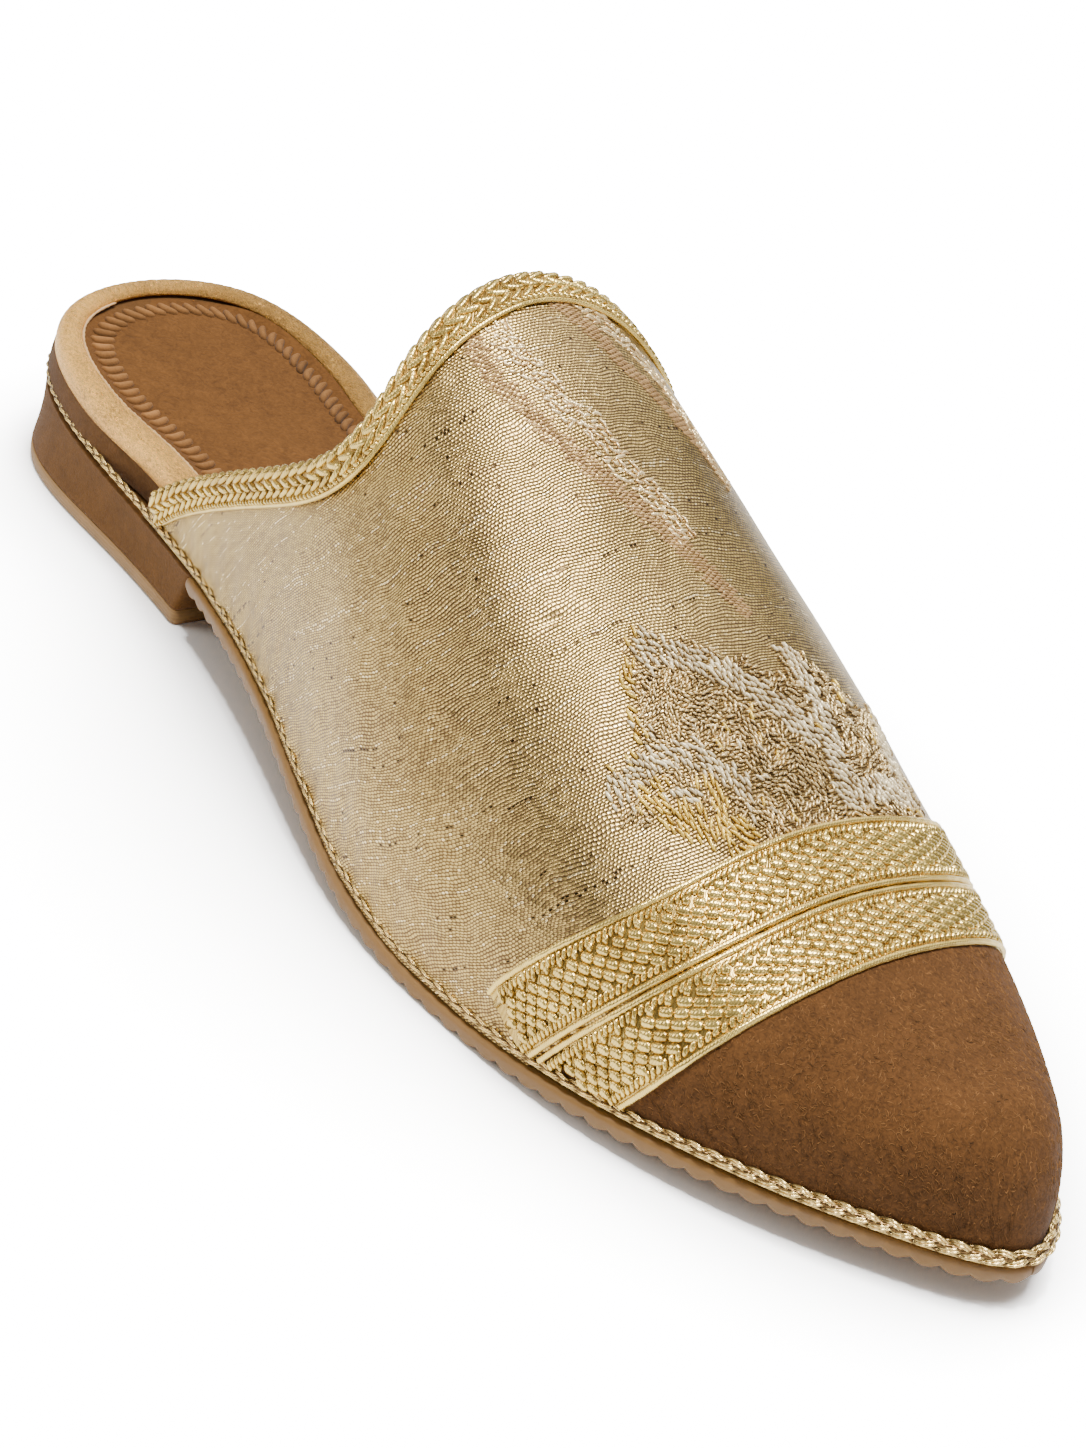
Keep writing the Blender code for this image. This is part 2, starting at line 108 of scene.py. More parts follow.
SOLE_TOP = 0.0015
SOLE_BOTTOM = 0.0043
SOLE_REAR = 0.0826
SCALLOP_PITCH = 0.0040
SCALLOP_DEPTH = 0.0010
HEEL_TOP_OUT = 0.0009
HEEL_FOOT_OUT = 0.0008
HEEL_FLARE = 0.0022
HEEL_FLARE_LENGTH = 0.030
BREAST_TOP = 0.0823
BREAST_FOOT = 0.0780
LIFT_HEIGHT = 0.0030
GAP = 0.0003
FOOTBED_HEEL_TOP = 0.0062
FOOTBED_TOE_TOP = 0.0040
FOOTBED_THIN_FROM = 0.090
FOOTBED_THIN_TO = 0.150
FOOTBED_HEEL_IN = 0.0005
FOOTBED_CLEAR = 0.0010
FOOTBED_NARROW_FROM = 0.036
FOOTBED_NARROW_TO = 0.060
RIM_END = 0.150
RIM_WIDTH = 0.0066
RIM_RISE = 0.0024
SOCK_TOE_IN = 0.0042
SOCK_WIDEN_FROM = 0.168
SOCK_WIDEN_TO = 0.190
SOCK_THICKNESS = 0.0008

DENSE = 1601
GIRTH_SAMPLES = 361
MAP_START = 0.050
MAP_STATIONS = 431
PROBE = 1e-5
ANGLE_PROBE = 0.05
TINY = 1e-6
NO_AREA = 1e-15
MM = 1e3  # millimetres in a metre, for the UV maps


def cubic(knots, values, at, level_start=False, level_end=False):
    """Cubic spline through the values; a level end has no slope there."""
    knots = np.asarray(knots, float)
    values = np.asarray(values, float)
    count = len(knots)
    step = np.diff(knots)
    slope = np.diff(values) / step
    matrix = np.eye(count)
    right = np.zeros(count)
    for row in range(1, count - 1):
        before, after = step[row - 1:row + 1]
        matrix[row, row - 1:row + 2] = before, 2 * (before + after), after
        right[row] = 6 * (slope[row] - slope[row - 1])
    if level_start:
        matrix[0, :2] = 2 * step[0], step[0]
        right[0] = 6 * slope[0]
    if level_end:
        matrix[-1, -2:] = step[-1], 2 * step[-1]
        right[-1] = -6 * slope[-1]
    bend = np.linalg.solve(matrix, right)
    at = np.clip(at, knots[0], knots[-1])
    cell = np.clip(np.searchsorted(knots, at) - 1, 0, count - 2)
    wide = step[cell]
    near = (knots[cell + 1] - at) / wide
    far = (at - knots[cell]) / wide
    line = near * values[cell] + far * values[cell + 1]
    curl = (near**3 - near) * bend[cell] + (far**3 - far) * bend[cell + 1]
    return line + curl * wide**2 / 6


def alike(*items):
    """Numbers or arrays stretched to one shape."""
    return np.broadcast_arrays(*(np.asarray(item, float) for item in items))


def paired(first, second):
    """Two arrays stretched to one shape and set side by side."""
    return np.stack(np.broadcast_arrays(first, second), -1)


def run_along(points):
    """Running length along a line of points."""
    return np.r_[0, np.cumsum(np.linalg.norm(np.diff(points, axis=0), axis=1))]


def tangents(line, closed):
    """Unit directions along a line of points."""
    if closed:
        step = np.roll(line, -1, axis=0) - np.roll(line, 1, axis=0)
    else:
        step = np.gradient(line, axis=0)
    return step / np.linalg.norm(step, axis=1, keepdims=True)


def read_line(at, run, table):
    """Columns of a table read at runs between its rows."""
    return np.stack([np.interp(at, run, column) for column in table.T], -1)


def smooth_step(value, start, end):
    """0 before start, 1 after end, and an S curve between them."""
    share = np.clip((value - start) / (end - start), 0, 1)
    return share * share * (3 - 2 * share)


def crowded(start, end, count, at_start=True, at_end=True):
    """Stations from start to end, closer together at a rounded end."""
    share = np.linspace(0, 1, count + 1)
    if at_start and at_end:
        share = 0.5 - 0.5 * np.cos(math.pi * share)
    elif at_start:
        share = 1 - np.cos(math.pi / 2 * share)
    elif at_end:
        share = np.sin(math.pi / 2 * share)
    return start + (end - start) * share


def make_outline():
    """Half outline of the sole in plan, with its normal and running length."""
    rows = np.array(SECTIONS)
    points = np.c_[rows[:, 0] * LENGTH, rows[:, 1] * HALF_BALL_WIDTH]
    chord = np.linalg.norm(np.diff(points, axis=0), axis=1)
    knots = np.r_[0, np.cumsum(np.sqrt(chord))]
    share = 0.5 - 0.5 * np.cos(np.linspace(0, math.pi, DENSE))
    along = cubic(knots, points[:, 0], share * knots[-1], True, True)
    half = cubic(knots, points[:, 1], share * knots[-1])
    half[[0, -1]] = 0
    run = np.r_[0, np.cumsum(np.hypot(np.diff(along), np.diff(half)))]
    slope_x = np.gradient(along, run)
    slope_y = np.gradient(half, run)
    size = np.hypot(slope_x, slope_y)
    normal = np.c_[-slope_y / size, slope_x / size]
    normal[0] = -1, 0
    normal[-1] = 1, 0
    return along, half, normal, run


ALONG, HALF, NORMAL, RUN = make_outline()
MIDDLE = (LENGTH + CORD_OUT + CORD_RADIUS - HEEL_FOOT_OUT - HEEL_FLARE) / 2


def from_sections(column, scale, x):
    """Spline through a column of the table of sections."""
    rows = np.array(SECTIONS)
    return cubic(rows[:, 0] * LENGTH, rows[:, column] * scale, x)


def half_width(x):
    """Half width of the last at a distance from the heel."""
    return np.interp(x, ALONG, HALF)


def outline_normal(x):
    """Outward normal of the half outline at a distance from the heel."""
    return read_line(x, ALONG, NORMAL)


def feather(x):
    """Height of the feather line, where sole and upper meet."""
    return from_sections(2, HEEL_HEIGHT, x)


def ridge(x):
    """Height of the top of the last."""
    return from_sections(3, INSTEP_HEIGHT, x)


def wall(x):
    """Thickness of the lined upper, skived thin at the collar's ends."""
    return SKIVED_WALL + (WALL - SKIVED_WALL) * smooth_step(x, SKIVE_FROM, SKIVE_TO)


def skin(x, angle):
    """Last's skin: angle 0 is the right side, 90 the ridge, 180 the left.

    Each section is a superellipse on the feather line with swollen
    shoulders, and its height rounds down to nothing at the tip.
    """
    half = half_width(x)
    foot = feather(x) - FOOT_DROP
    tip = np.clip((x - LENGTH + TIP_ROUNDING) / TIP_ROUNDING, 0, 1)
    height = (ridge(x) - foot) * np.sqrt(1 - tip**TIP_ROUNDING_POWER)
    cosine = np.cos(np.radians(angle))
    sine = np.abs(np.sin(np.radians(angle)))
    power = 2 / from_sections(4, 1.0, x)
    bulge = SIDE_BULGE * np.clip(half / FULL_BULGE_WIDTH, 0, 1)
    side = np.sign(cosine) * half * np.abs(cosine)**power
    side = side + bulge * np.sin(np.radians(2 * angle))
    return np.stack(np.broadcast_arrays(x, -side, foot + height * sine**power), -1)


def surface(x, angle, level):
    """Point at a level outward from the skin."""
    x, angle, level = alike(x, angle, level)
    point = skin(x, angle)
    ahead = skin(np.clip(x + PROBE, 0, LENGTH), angle)
    behind = skin(np.clip(x - PROBE, 0, LENGTH), angle)
    over = skin(x, np.clip(angle + ANGLE_PROBE, 0, 180))
    under = skin(x, np.clip(angle - ANGLE_PROBE, 0, 180))
    normal = np.cross(ahead - behind, over - under)
    size = np.linalg.norm(normal, axis=-1, keepdims=True)
    nose = (LENGTH - x)[..., None] < TINY
    normal = np.where(nose, (1.0, 0.0, 0.0), normal / np.maximum(size, NO_AREA))
    return point + normal * level[..., None]


FAN = crowded(0, 180, GIRTH_SAMPLES - 1)  # angles round the skin, closer at the feet


def make_girth_map():
    """Skin rolled out flat: angle against the share of the half girth.

    Each station's section is measured from the ridge, and the angles are
    read back at even shares from -1, the right foot, to 1, the left.
    """
    stations = np.linspace(MAP_START, LENGTH, MAP_STATIONS)
    points = skin(stations[:, None], FAN[None, :])
    steps = np.linalg.norm(np.diff(points, axis=1), axis=2)
    run = np.concatenate((np.zeros((MAP_STATIONS, 1)), np.cumsum(steps, axis=1)), axis=1)
    half = run[:, -1] / 2
    shares = run / np.maximum(half, TINY)[:, None] - 1
    even = np.linspace(-1, 1, GIRTH_SAMPLES)
    angles = np.stack([np.interp(even, row, FAN) for row in shares])
    return stations, half, shares, angles


STATIONS, HALF_GIRTH, SHARE_OF_ANGLE, ANGLE_OF_SHARE = make_girth_map()


def half_girth(x):
    """Run along the girth from the ridge to the foot of a side."""
    return np.interp(x, STATIONS, HALF_GIRTH)


def from_map(table, x, column):
    """Table of stations by columns, read between its entries."""
    row = (x - MAP_START) / (LENGTH - MAP_START) * (MAP_STATIONS - 1)
    row = np.clip(row, 0, MAP_STATIONS - 1 - TINY)
    column = np.clip(column * (GIRTH_SAMPLES - 1), 0, GIRTH_SAMPLES - 1 - TINY)
    i = row.astype(int)
    j = column.astype(int)
    across = column - j
    here = table[i, j] * (1 - across) + table[i, j + 1] * across
    there = table[i + 1, j] * (1 - across) + table[i + 1, j + 1] * across
    return here + (there - here) * (row - i)


def rolled_angle(x, girth):
    """Angle on the skin at x and a run along the girth from the ridge."""
    share = girth / np.maximum(half_girth(x), TINY)
    return from_map(ANGLE_OF_SHARE, x, (share + 1) / 2)


def girth_of(x, angle):
    """Run along the girth from the ridge to an angle on the skin."""
    column = np.arccos(np.clip(1 - angle / 90, -1, 1)) / math.pi
    return from_map(SHARE_OF_ANGLE, x, column) * half_girth(x)


def on_cloth(x, girth, level):
    """Point of the upper at x, a run along the girth and a level."""
    return surface(x, rolled_angle(x, girth), level)


def symmetric_curve(table, section, angle):
    """Distance from the heel of a curve given from one side to the ridge."""
    rows = np.array(table)
    run = run_along(skin(section, FAN))
    folded = np.interp(np.minimum(angle, 180 - angle), FAN, run)
    return cubic(rows[:, 0], rows[:, 1], folded * 2 / run[-1], level_end=True)


def collar_edge(angle):
    """Rear edge of the collar's binding."""
    return symmetric_curve(COLLAR, COLLAR_SECTION, angle)


def band_seam(angle):
    """Line between the two toe bands."""
    return symmetric_curve(BAND_SEAM, BAND_SECTION, angle)


class Strip:
    """Strip of the skin beside a curve, read by its run and a distance.

    The run is measured along the curve from the ridge, right side negative,
    and the distance square to the curve, forward, on the rolled-out skin.
    The distance grows by the share spread from the sides to the ridge.
    """

    COUNT = 1201

    def __init__(self, curve, spread=0.0, foot=TRIM_FOOT):
        angle = crowded(0, 180, self.COUNT - 1)
        x = curve(angle)
        girth = girth_of(x, angle)
        ahead = skin(x + PROBE, angle) - skin(x, angle)
        stretch = np.linalg.norm(ahead, axis=-1) / PROBE
        step_x = np.gradient(x) * stretch
        step_g = np.gradient(girth)
        size = np.hypot(step_x, step_g)
        run = np.cumsum(size)
        run = run - np.interp(0, girth, run)
        self.run = run
        self.spread = 1 + spread * np.sin(np.radians(angle))**2
        self.foot = foot
        self.table = (x, girth, step_g / size / stretch, -step_x / size)

    def flat(self, run, distance):
        """Station and girth of a point of the strip."""
        x, girth, forward, aside = (
            np.interp(run, self.run, column) for column in self.table
        )
        distance = distance * np.interp(run, self.run, self.spread)
        return x + distance * forward, girth + distance * aside

    def place(self, run, distance, level):
        """Point of the strip at a level over the skin."""
        return on_cloth(*self.flat(run, distance), level)

    def ends(self, distance):
        """Runs at which the line at this distance is so far above the feather."""
        x, girth = self.flat(self.run, distance)
        height = on_cloth(x, girth, 0.0)[:, 2] - feather(x)
        inside = np.flatnonzero(height > self.foot)
        return self.run[inside[0]], self.run[inside[-1]]


class Edge:
    """Line round the slipper at an offset from its plan outline.

    It runs from the front on the right side, round the heel, to the front
    on the left, or all the way round.  Softening rounds its corners.
    """

    STATIONS = 900

    def __init__(self, out, start, end, count, soften=0.0, inset=None):
        x = crowded(start, end, self.STATIONS, at_start=start <= 0, at_end=end >= LENGTH)
        shift = out if inset is None else out - inset(x)
        normal = outline_normal(x)
        half = np.maximum(half_width(x) + normal[:, 1] * shift, 0)
        along = x + normal[:, 0] * shift
        right = np.c_[along, -half][::-1]
        left = np.c_[along, half]
        line = np.concatenate((right, left[1:] if start <= 0 else left))
        closed = end >= LENGTH or start > 0 or soften > 0
        if closed:
            line = np.concatenate((line, line[:1]))
        run = run_along(line)
        even = np.linspace(0, run[-1], count + 1)
        line = read_line(even, run, line)
        if soften > 0:
            line = self.softened(line[:-1], soften / even[1])
            line = np.concatenate((line, line[:1]))
        self.line = line[:-1] if closed else line
        self.run = even[:-1] if closed else even
        self.length = run[-1]

    @staticmethod
    def softened(line, width):
        """Ring of points smoothed by a bell curve of this width in points."""
        count = len(line)
        offset = np.minimum(np.arange(count), count - np.arange(count))
        bell = np.exp(-((offset / max(width, TINY)) ** 2) / 2)
        spectrum = np.fft.rfft(bell / bell.sum())
        return np.stack([
            np.fft.irfft(np.fft.rfft(column) * spectrum, count) for column in line.T
        ], -1)


def quads(rows, columns, wrap_rows=False, wrap_columns=False):
    """Corners of the faces of a grid of points, rows by columns."""
    index = np.arange(rows * columns).reshape(rows, columns)
    if wrap_rows:
        index = np.concatenate((index, index[:1]))
    if wrap_columns:
        index = np.concatenate((index, index[:, :1]), axis=1)
    corners = (index[:-1, :-1], index[:-1, 1:], index[1:, 1:], index[1:, :-1])
    return np.stack(corners, -1).reshape(-1, 4)


def new_object(name, data):
    """Object of this name, put into the scene."""
    item = bpy.data.objects.new(name, data)
    bpy.context.scene.collection.objects.link(item)
    return item


class Soup:
    """Surfaces gathered into one mesh, with a UV map and a tint of random tone and painted shade.
    """

    def __init__(self):
        self.points = []
        self.faces = []
        self.maps = []
        self.tints = []
        self.count = 0

    def add(self, points, faces, uv, tint):
        """Adds points, faces of four corners, their UV and their tint."""
        self.points.append(points.reshape(-1, 3))
        self.faces.append(faces.reshape(-1, 4) + self.count)
        self.maps.append(uv.reshape(-1, 2))
        self.tints.append(tint.reshape(-1))
        self.count += len(self.points[-1])

    def grid(self, points, uv=(0.0, 0.0), tint=0.0, wrap_rows=False, wrap_columns=False):
        """Adds a grid of points, rows by columns, as one surface."""
        shape = points.shape[:2]
        self.add(points, quads(*shape, wrap_rows, wrap_columns),
                 np.broadcast_to(uv, (*shape, 2)), np.broadcast_to(tint, shape))

    def batch(self, points, uv, tint):
        """Adds many small grids at once: piece by row by column."""
        pieces, rows, columns = points.shape[:3]
        first = np.arange(pieces) * rows * columns
        faces = quads(rows, columns)[None] + first[:, None, None]
        self.add(points, faces, uv, tint)

    def build(self, name, material, slot, node=None):
        """Makes the piece, in the row frame, and seats it on the frame."""
        points = np.concatenate(self.points).astype(np.float32)
        points[:, 0] -= MIDDLE
        faces = np.concatenate(self.faces).astype(np.int32)
        uv = np.concatenate(self.maps).astype(np.float32)
        tint = np.concatenate(self.tints).astype(np.float32)
        mesh = bpy.data.meshes.new(name)
        mesh.vertices.add(len(points))
        mesh.vertices.foreach_set("co", points.ravel())
        mesh.loops.add(faces.size)
        mesh.loops.foreach_set("vertex_index", faces.ravel())
        mesh.polygons.add(len(faces))
        mesh.polygons.foreach_set("loop_start", np.arange(0, faces.size, 4, dtype=np.int32))
        mesh.update(calc_edges=True)
        layer = mesh.uv_layers.new(name="UVMap")
        layer.data.foreach_set("uv", uv[faces.ravel()].ravel())
        shade = mesh.attributes.new("tint", "FLOAT", "POINT")
        shade.data.foreach_set("value", tint)
        mesh.validate()
        mesh.shade_smooth()
        mesh.materials.append(material)
        piece = new_object(name, mesh)
        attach(piece, "root")
        if node is not None:
            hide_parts(node)
        return piece


END_FULL = 0.25  # share of a thread's height that its ends keep


def threads(soup, place, run, distance, turn, length, width, height, level,
            tint=0.0, bow=0.0, lift=0.0, blunt=3.2, shade=0.5, steps=6, sides=5):
    """Many short raised threads laid on a strip.

    Each is half an ellipse in section, swept along a line that leaves its
    centre at the angle turn from the run.  It thins to rounded ends, bows
    sideways by bow at its middle, and one end rides up by lift.  Its tint
    falls by shade from its top to its foot, as painted shade.
    """
    run, distance, turn, length, width, height, level, bow, lift = (
        item[:, None, None]
        for item in alike(run, distance, turn, length, width, height, level, bow, lift)
    )
    along = np.linspace(-1, 1, steps + 1)[None, :, None]
    across = np.linspace(0, math.pi, sides + 1)[None, None, :]
    taper = np.sqrt(np.clip(1 - np.abs(along)**blunt, 0, 1))
    side = width / 2 * taper * np.cos(across) + bow * (1 - along**2)
    ahead = length / 2 * along
    up = level + height * (END_FULL + (1 - END_FULL) * taper) * np.sin(across) + lift * along
    up = up - height * END_FULL * (1 - taper)
    run_to = run + ahead * np.cos(turn) - side * np.sin(turn)
    distance_to = distance + ahead * np.sin(turn) + side * np.cos(turn)
    tint = np.broadcast_to(tint, len(run))[:, None, None]
    tint = np.broadcast_to(tint + shade * (np.sin(across) * taper - 1), run_to.shape)
    soup.batch(place(run_to, distance_to, up), paired(ahead * MM, side * MM), tint)


def tube(soup, centre, side, radius, sides, closed=False, tint=0.0):
    """Round cord along a centre line; side points roughly sideways."""
    run = run_along(centre)
    tangent = tangents(centre, closed)
    side = side - (side * tangent).sum(1, keepdims=True) * tangent
    side = side / np.linalg.norm(side, axis=1, keepdims=True)
    up = np.cross(tangent, side)
    turn = np.linspace(0, 2 * math.pi, sides, endpoint=False)
    radius = np.broadcast_to(radius, len(centre))[:, None, None]
    ring = np.cos(turn)[None, :, None] * side[:, None]
    ring = ring + np.sin(turn)[None, :, None] * up[:, None]
    points = centre[:, None] + radius * ring
    uv = paired(run[:, None] * MM, turn[None, :])
    soup.grid(points, uv, tint, wrap_rows=closed, wrap_columns=True)


class Nodes:
    """Short way to lay out the nodes of a material or a group."""

    def __init__(self, tree):
        self.tree = tree

    def add(self, kind, inputs=(), **settings):
        """New node; inputs give a socket's name or number and its source."""
        node = self.tree.nodes.new(kind)
        for name, value in settings.items():
            setattr(node, name, value)
        for key, value in dict(inputs).items():
            self.feed(node.inputs[key], value)
        return node

    def feed(self, socket, value):
        """Links a socket to another, or sets its value."""
        if isinstance(value, bpy.types.NodeSocket):
            self.tree.links.new(value, socket)
        elif socket.type == "RGBA" and len(value) == 3:
            socket.default_value = (*value, 1.0)
        else:
            socket.default_value = value

    def math(self, operation, first, second=0.0, third=0.0, clamp=False):
        """Result of an arithmetic step."""
        node = self.add("ShaderNodeMath", {0: first, 1: second, 2: third},
                        operation=operation, use_clamp=clamp)
        return node.outputs[0]

    def times(self, *factors):
        """Product of values."""
        product = factors[0]
        for factor in factors[1:]:
            product = self.math("MULTIPLY", product, factor)
        return product

    def line(self, value, slope, start, clamp=False):
        """Start plus a slope times a value."""
        return self.math("MULTIPLY_ADD", value, slope, start, clamp)

    def about(self, value, slope, middle=1.0, clamp=False):
        """Line whose middle lies at a value of a half."""
        return self.line(self.math("SUBTRACT", value, 0.5), slope, middle, clamp)

    def stretched(self, place, factors):
        """Place stretched along its axes."""
        node = self.add("ShaderNodeVectorMath", {0: place, 1: factors}, operation="MULTIPLY")
        return node.outputs[0]

    def shaded(self, colour, tone):
        """Colour made darker or lighter by a tone."""
        node = self.add("ShaderNodeVectorMath", {0: colour, "Scale": tone}, operation="SCALE")
        return node.outputs[0]

    def axes(self, place):
        """The three numbers of a place."""
        return self.add("ShaderNodeSeparateXYZ", {0: place}).outputs

    def noise(self, vector, scale, detail=2.0, roughness=0.5, distortion=0.0):
        """Noise from 0 to 1 at a place."""
        node = self.add("ShaderNodeTexNoise", {
            "Vector": vector, "Scale": scale, "Detail": detail,
            "Roughness": roughness, "Distortion": distortion,
        })
        return node.outputs[0]

    def white(self, x, y=0.0):
        """Random value of a cell given by one or two whole numbers."""
        place = self.add("ShaderNodeCombineXYZ", {0: x, 1: y})
        node = self.add("ShaderNodeTexWhiteNoise", {"Vector": place.outputs[0]},
                        noise_dimensions="2D")
        return node.outputs["Value"]

    def mix(self, share, first, second):
        """Mix of two colours."""
        node = self.add("ShaderNodeMix", data_type="RGBA")
        for number, value in ((0, share), (6, first), (7, second)):
            self.feed(node.inputs[number], value)
        return node.outputs[2]

    def ramp(self, value, low, high, to_low=0.0, to_high=1.0):
        """Value carried from one range to another, smoothly, and held there."""
        node = self.add("ShaderNodeMapRange", {
            0: value, 1: low, 2: high, 3: to_low, 4: to_high,
        }, interpolation_type="SMOOTHSTEP")
        return node.outputs[0]


def new_group(name, inputs, outputs):
    """Shader node group with named inputs and outputs; its nodes and ends."""
    tree = bpy.data.node_groups.new(name, "ShaderNodeTree")
    for title, kind, value in inputs:
        socket = tree.interface.new_socket(title, in_out="INPUT", socket_type=kind)
        if kind == "NodeSocketColor":
            socket.default_value = (*value, 1.0)
        elif value is not None:
            socket.default_value = value
    for title, kind in outputs:
        tree.interface.new_socket(title, in_out="OUTPUT", socket_type=kind)
    nodes = Nodes(tree)
    start = tree.nodes.new("NodeGroupInput")
    end = tree.nodes.new("NodeGroupOutput")
    return tree, nodes, start.outputs, end.inputs


FLOAT = "NodeSocketFloat"
COLOUR = "NodeSocketColor"
PLACE = "NodeSocketVector"


def nap_group(name):
    """Suede: cloudy tone, curled fibres and a few rubbed spots."""
    tree, n, given, out = new_group(
        name,
        [("Place", PLACE, None), ("Tone", COLOUR, (0.2, 0.1, 0.04)),
         ("Contrast", FLOAT, 1.0), ("Fibre scale", FLOAT, 900.0)],
        [("Colour", COLOUR), ("Height", FLOAT)],
    )
    place = given["Place"]
    cloud = n.noise(place, 70.0, 3.0, 0.55)
    patch = n.noise(place, 260.0, 3.0, 0.6, 0.4)
    fibre = n.noise(place, given["Fibre scale"], 3.0, 0.65, 2.2)
    fine = n.noise(place, n.times(given["Fibre scale"], 2.6), 2.0, 0.6, 1.0)
    tone = n.about(cloud, 0.30)
    tone = n.about(patch, 0.55, tone)
    curl = n.about(fibre, 1.5, 0.0)
    curl = n.about(fine, 0.8, curl)
    tone = n.line(curl, given["Contrast"], tone)
    tone = n.math("MAXIMUM", tone, 0.25)
    n.feed(out["Colour"], n.shaded(given["Tone"], tone))
    n.feed(out["Height"], n.line(fine, 0.5, fibre))
    return tree


def thread_group(name):
    """Metal thread: foil wound in fine turns, lighter and darker by thread, painted darker as
    shade in the grooves and where the tint says so.
    """
    tree, n, given, out = new_group(
        name,
        [("Map", PLACE, None), ("Place", PLACE, None), ("Tint", FLOAT, 0.0),
         ("Light", COLOUR, (0.9, 0.7, 0.35)), ("Deep", COLOUR, (0.4, 0.25, 0.08)),
         ("Turns", FLOAT, 9.0)],
        [("Colour", COLOUR), ("Height", FLOAT)],
    )
    x, y, _ = n.axes(given["Map"])
    slant = n.line(y, 0.9, x)
    wave = n.math("SINE", n.times(slant, given["Turns"]))
    ripple = n.line(wave, 0.5, 0.5)
    cloud = n.noise(given["Place"], 320.0, 3.0, 0.6)
    # The tint brings random tone and painted shade at the threads' feet and dark grounds.
    share = n.about(cloud, 0.9, 0.78)
    share = n.math("ADD", share, given["Tint"])
    # The grooves between the turns are painted darker, as shade.
    share = n.about(ripple, 0.25, share, clamp=True)
    n.feed(out["Colour"], n.mix(share, given["Deep"], given["Light"]))
    n.feed(out["Height"], ripple)
    return tree


def weave_group(name):
    """Weft-faced cloth: wavering rows of beads, strings of sparks and slubs.

    A row is a band of constant X of the map, shifted by slow noise, and a
    bead a short cell along it, set like bricks.  A few rows carry strings
    of bright metal beads, or dark slubs, where a slow noise is high.
    """
    tree, n, given, out = new_group(
        name,
        [("Map", PLACE, None), ("Row", FLOAT, 0.4), ("Bead", FLOAT, 0.5),
         ("Wander", FLOAT, 1.0), ("Sparks", FLOAT, 0.1), ("Slubs", FLOAT, 0.04)],
        [("Height", FLOAT), ("Spark", FLOAT), ("Slub", FLOAT), ("Cloud", FLOAT)],
    )
    place = given["Map"]
    x, y, _ = n.axes(place)
    x = n.about(n.noise(place, 0.11, 2.0, 0.5), n.times(given["Wander"], 5.0), x)
    x = n.about(n.noise(place, 0.5, 1.0, 0.5), n.times(given["Wander"], 0.22), x)
    across = n.math("DIVIDE", x, given["Row"])
    row = n.math("FLOOR", across)
    hump = n.math("SINE", n.times(n.math("FRACT", across), math.pi))
    chance = n.white(row, 3.0)
    along = n.math("DIVIDE", y, given["Bead"])
    along = n.line(row, 0.5, along)
    along = n.line(chance, 0.35, along)
    cell = n.math("FLOOR", along)
    bead = n.math("SINE", n.times(n.math("FRACT", along), math.pi))
    pick = n.white(row, cell)
    body = n.times(n.math("POWER", hump, 0.8), n.math("POWER", bead, 0.45))
    height = n.times(body, n.line(pick, 0.45, 0.62))
    stretched = n.stretched(place, (1.0, 0.045, 1.0))
    string = n.ramp(n.noise(stretched, 0.9, 2.0, 0.5), 0.49, 0.56)
    many = n.ramp(chance, 0.81, 0.85)
    limit = n.math("ADD", n.times(many, string, 5.0), 0.12)
    limit = n.times(limit, given["Sparks"])
    spark = n.math("GREATER_THAN", pick, n.math("SUBTRACT", 1.0, limit))
    spark = n.times(spark, n.ramp(body, 0.5, 0.8))
    many = n.ramp(chance, 0.10, 0.07)
    limit = n.math("ADD", n.times(many, string, 9.0), 0.05)
    limit = n.times(limit, given["Slubs"])
    slub = n.math("LESS_THAN", pick, limit)
    slub = n.times(slub, n.ramp(body, 0.45, 0.8))
    n.feed(out["Height"], height)
    n.feed(out["Spark"], spark)
    n.feed(out["Slub"], slub)
    n.feed(out["Cloud"], n.noise(place, 0.05, 3.0, 0.6))
    return tree


SHADER_GROUPS = {
    "Suede nap": nap_group,
    "Metal thread": thread_group,
    "Brocade weave": weave_group,
}


def use_group(n, name, inputs):
    """Outputs of a shared shader group, which is made once."""
    tree = bpy.data.node_groups.get(name) or SHADER_GROUPS[name](name)
    return n.add("ShaderNodeGroup", inputs, node_tree=tree).outputs


def new_material(name, **values):
    """Material with a Principled shader and constant values on its sockets."""
    material = bpy.data.materials.new(name)
    material.use_nodes = True
    shader = material.node_tree.nodes["Principled BSDF"]
    for key, value in values.items():
        shader.inputs[key.replace("_", " ")].default_value = value
    return material, Nodes(material.node_tree), shader


def uv_of(n):
    """The piece's own UV map."""
    return n.add("ShaderNodeUVMap", uv_map="UVMap").outputs[0]


def place_of(n):
    """Object coordinates."""
    return n.add("ShaderNodeTexCoord").outputs["Object"]


def tint_of(n):
    """The piece's own tint, which carries random tone and painted shade."""
    return n.add("ShaderNodeAttribute", attribute_name="tint").outputs["Fac"]


def dress(n, shader, colour, height, strength, distance, rough=None):
    """Gives the shader a colour, a normal raised by a height, and a roughness."""
    raised = n.add("ShaderNodeBump", {"Height": height, "Strength": strength,
                                      "Distance": distance})
    n.feed(shader.inputs["Base Color"], colour)
    n.feed(shader.inputs["Normal"], raised.outputs[0])
    if rough is not None:
        n.feed(shader.inputs["Roughness"], rough)


def suede(name, colour, contrast=0.8, fibre=900.0):
    """Brushed suede of one colour, darker where the tint says so, which paints shade at the feet
    of ridges and fibres.
    """
    material, n, shader = new_material(
        name, Roughness=0.92, Specular_IOR_Level=0.12, Sheen_Weight=0.06,
        Sheen_Roughness=0.45,
    )
    nap = use_group(n, "Suede nap", {
        "Place": place_of(n), "Tone": colour, "Contrast": contrast, "Fibre scale": fibre,
    })
    tone = n.math("ADD", tint_of(n), 1.0)
    dress(n, shader, n.shaded(nap["Colour"], tone), nap["Height"], 0.5, 0.0003)
    return material


